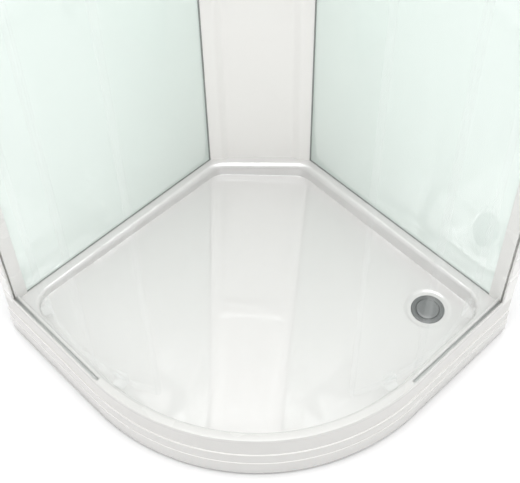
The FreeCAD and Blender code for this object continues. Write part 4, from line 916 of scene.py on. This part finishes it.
studs = runTree("footStudPieces", pointCloud("studPoints", footPoints), tree, sockets, {
    "Core radius": studSizes["radius"] - studSizes["coreDepth"], "Length": studLength,
    "Lift": footing["height"] + studLength / 2,
    "Thread line": studSizes["radius"] - studSizes["threadDepth"],
    "Thread depth": studSizes["threadDepth"], "Thread length": threadLength,
    "Thread start": footing["height"] + studSizes["threadStart"],
    "Turns": threadLength / studSizes["threadPitch"]}, "foot_studs")
dress(studs, "foot_studs")

nutSizes = {"radius": 0.011, "height": 0.008, "bevel": 0.0006}
tree, sockets, given = sizedTree("nutTree", ("Nut radius", "Nut height", "Nut lift"))
nut = drum(tree, given["Nut radius"], given["Nut height"], given["Nut lift"], 6)
finishTree(tree, given, atPoints(tree, given, (nut,)))
nuts = runTree("lockNutPieces", pointCloud("nutPoints", footPoints), tree, sockets, {
    "Nut radius": nutSizes["radius"], "Nut height": nutSizes["height"],
    "Nut lift": studSizes["beamHeight"] - nutSizes["height"] / 2}, "lock_nuts")
dress(bevelEdges(nuts, nutSizes["bevel"], 2), "lock_nuts")

beadSizes = {"width": 0.0035, "inset": 0.025, "round": 0.0014, "roundSteps": 4, "arcSteps": 96}
tree, sockets, given = sizedTree("beadTree", ("Bead width", "Bead round"))
path = addNode(tree, "GeometryNodeMeshToCurve", [(given["Geometry"], "Mesh")])
upright = addNode(tree, "GeometryNodeSetCurveNormal", [(path.outputs[0], "Curve")], mode="Z_UP")
square = addNode(tree, "GeometryNodeCurvePrimitiveQuadrilateral", [
    (given["Bead width"], "Width"), (given["Bead width"], "Height")])
softened = addNode(tree, "GeometryNodeFilletCurve", [
    (square.outputs[0], "Curve"), (given["Bead round"], "Radius")],
    {"Count": beadSizes["roundSteps"]}, mode="POLY")
swept = addNode(tree, "GeometryNodeCurveToMesh", [
    (upright.outputs[0], "Curve"), (softened.outputs[0], "Profile Curve")], {"Fill Caps": True})
finishTree(tree, given, swept.outputs[0])
beadMiddle = beadSizes["width"] / 2
beadLine = [(x, y, rimZ + beadMiddle) for x, y in insetLine(
    postFront, beadSizes["arcSteps"], beadSizes["inset"] + beadMiddle)]
beadEdges = [(i, i + 1) for i in range(len(beadLine) - 1)]
bead = runTree("sillBeadPiece", pointCloud("beadLine", beadLine, beadEdges), tree, sockets, {
    "Bead width": beadSizes["width"], "Bead round": beadSizes["round"]}, "sill_bead")
dress(bead, "sill_bead")
print("feet and bead made")

# floor and studio
floorReach = 9
floorMesh = bpy.data.meshes.new("floorPlane")
floorMesh.from_pydata([(-floorReach, -floorReach, 0), (floorReach, -floorReach, 0),
                       (floorReach, floorReach, 0), (-floorReach, floorReach, 0)],
                      [], [(0, 1, 2, 3)])
floor = linkNew("floorPlane", floorMesh)
floor.data.materials.append(looks["floorPale"])

# the background is white where it is seen, also in gloss and through glass, and softer as light
softStrength = 0.80
world = bpy.data.worlds.new("studio")
bpy.context.scene.world = world
world.use_nodes = True
tree = world.node_tree
tree.nodes.clear()
rays = tree.nodes.new("ShaderNodeLightPath").outputs
seen = addNode(tree, "ShaderNodeMath", [(rays["Is Camera Ray"], 0), (rays["Is Glossy Ray"], 1)],
               operation="MAXIMUM")
seen = addNode(tree, "ShaderNodeMath", [(seen.outputs[0], 0), (rays["Is Transmission Ray"], 1)],
               operation="MAXIMUM")
soft = addNode(tree, "ShaderNodeBackground", (), {"Color": (1, 1, 1, 1),
                                                  "Strength": softStrength})
white = addNode(tree, "ShaderNodeBackground", (), {"Color": (1, 1, 1, 1), "Strength": 1.0})
mix = addNode(tree, "ShaderNodeMixShader", [
    (seen.outputs[0], "Fac"), (soft.outputs[0], 1), (white.outputs[0], 2)])
addNode(tree, "ShaderNodeOutputWorld", [(mix.outputs[0], "Surface")])

lamps = {
    "topLight": {"place": (0.2, -0.2, 6.5), "target": (0, 0, 0.2), "size": (4.0, 4.0),
                 "power": 238, "hidden": None},
    "leftLight": {"place": (-1.6, -2.9, 1.3), "target": (0.1, 0.0, 0.7), "size": (1.6, 1.6),
                  "power": 10, "hidden": "visible_glossy"},
    "rightLight": {"place": (2.9, 1.6, 1.3), "target": (0.0, -0.1, 0.7), "size": (1.6, 1.6),
                   "power": 10, "hidden": "visible_glossy"},
    # a bright card that only shows in polished edges
    "glintCard": {"place": (1.05, -1.05, 3.95), "target": (-0.2, 0.2, 0.15), "size": (3.4, 4.4),
                  "power": 190, "hidden": "visible_diffuse"}}
for name, lamp in lamps.items():
    light = bpy.data.lights.new(name, "AREA")
    light.shape = "RECTANGLE"
    light.size, light.size_y = lamp["size"]
    light.energy = lamp["power"]
    obj = linkNew(name, light)
    obj.location = lamp["place"]
    aim = Vector(lamp["target"]) - Vector(lamp["place"])
    obj.rotation_euler = aim.to_track_quat("-Z", "Y").to_euler()
    if lamp["hidden"]:
        setattr(obj, lamp["hidden"], False)
print("studio made")

# camera, fitted to the lines of the tray, walls and column
view = {"focalPixels": 1101.6, "frameWidth": 520.0, "sensor": 36.0, "clipEnd": 60,
        "place": (1.12897, -1.0461, 2.4279), "heading": 136.819, "pitch": 53.064, "roll": 1.167}
camData = bpy.data.cameras.new("camera")
camData.sensor_fit = "HORIZONTAL"
camData.sensor_width = view["sensor"]
camData.lens = view["focalPixels"] * view["sensor"] / view["frameWidth"]
camData.clip_end = view["clipEnd"]
cam = linkNew("camera", camData)
heading, pitch, roll = (math.radians(view[k]) for k in ("heading", "pitch", "roll"))
forward = Vector((math.cos(pitch) * math.cos(heading), math.cos(pitch) * math.sin(heading),
                  -math.sin(pitch)))
level = Vector((math.sin(heading), -math.cos(heading), 0))
upward = level.cross(forward)
sideAxis = level * math.cos(roll) - upward * math.sin(roll)
topAxis = level * math.sin(roll) + upward * math.cos(roll)
place = Vector(view["place"])
cam.matrix_world = Matrix((
    (sideAxis.x, topAxis.x, -forward.x, place.x),
    (sideAxis.y, topAxis.y, -forward.y, place.y),
    (sideAxis.z, topAxis.z, -forward.z, place.z),
    (0, 0, 0, 1)))
bpy.context.scene.camera = cam
bpy.context.scene.view_settings.view_transform = "Standard"
bpy.context.scene.cycles.transparent_max_bounces = 48  # the clear panes lie many layers deep
print("camera set")
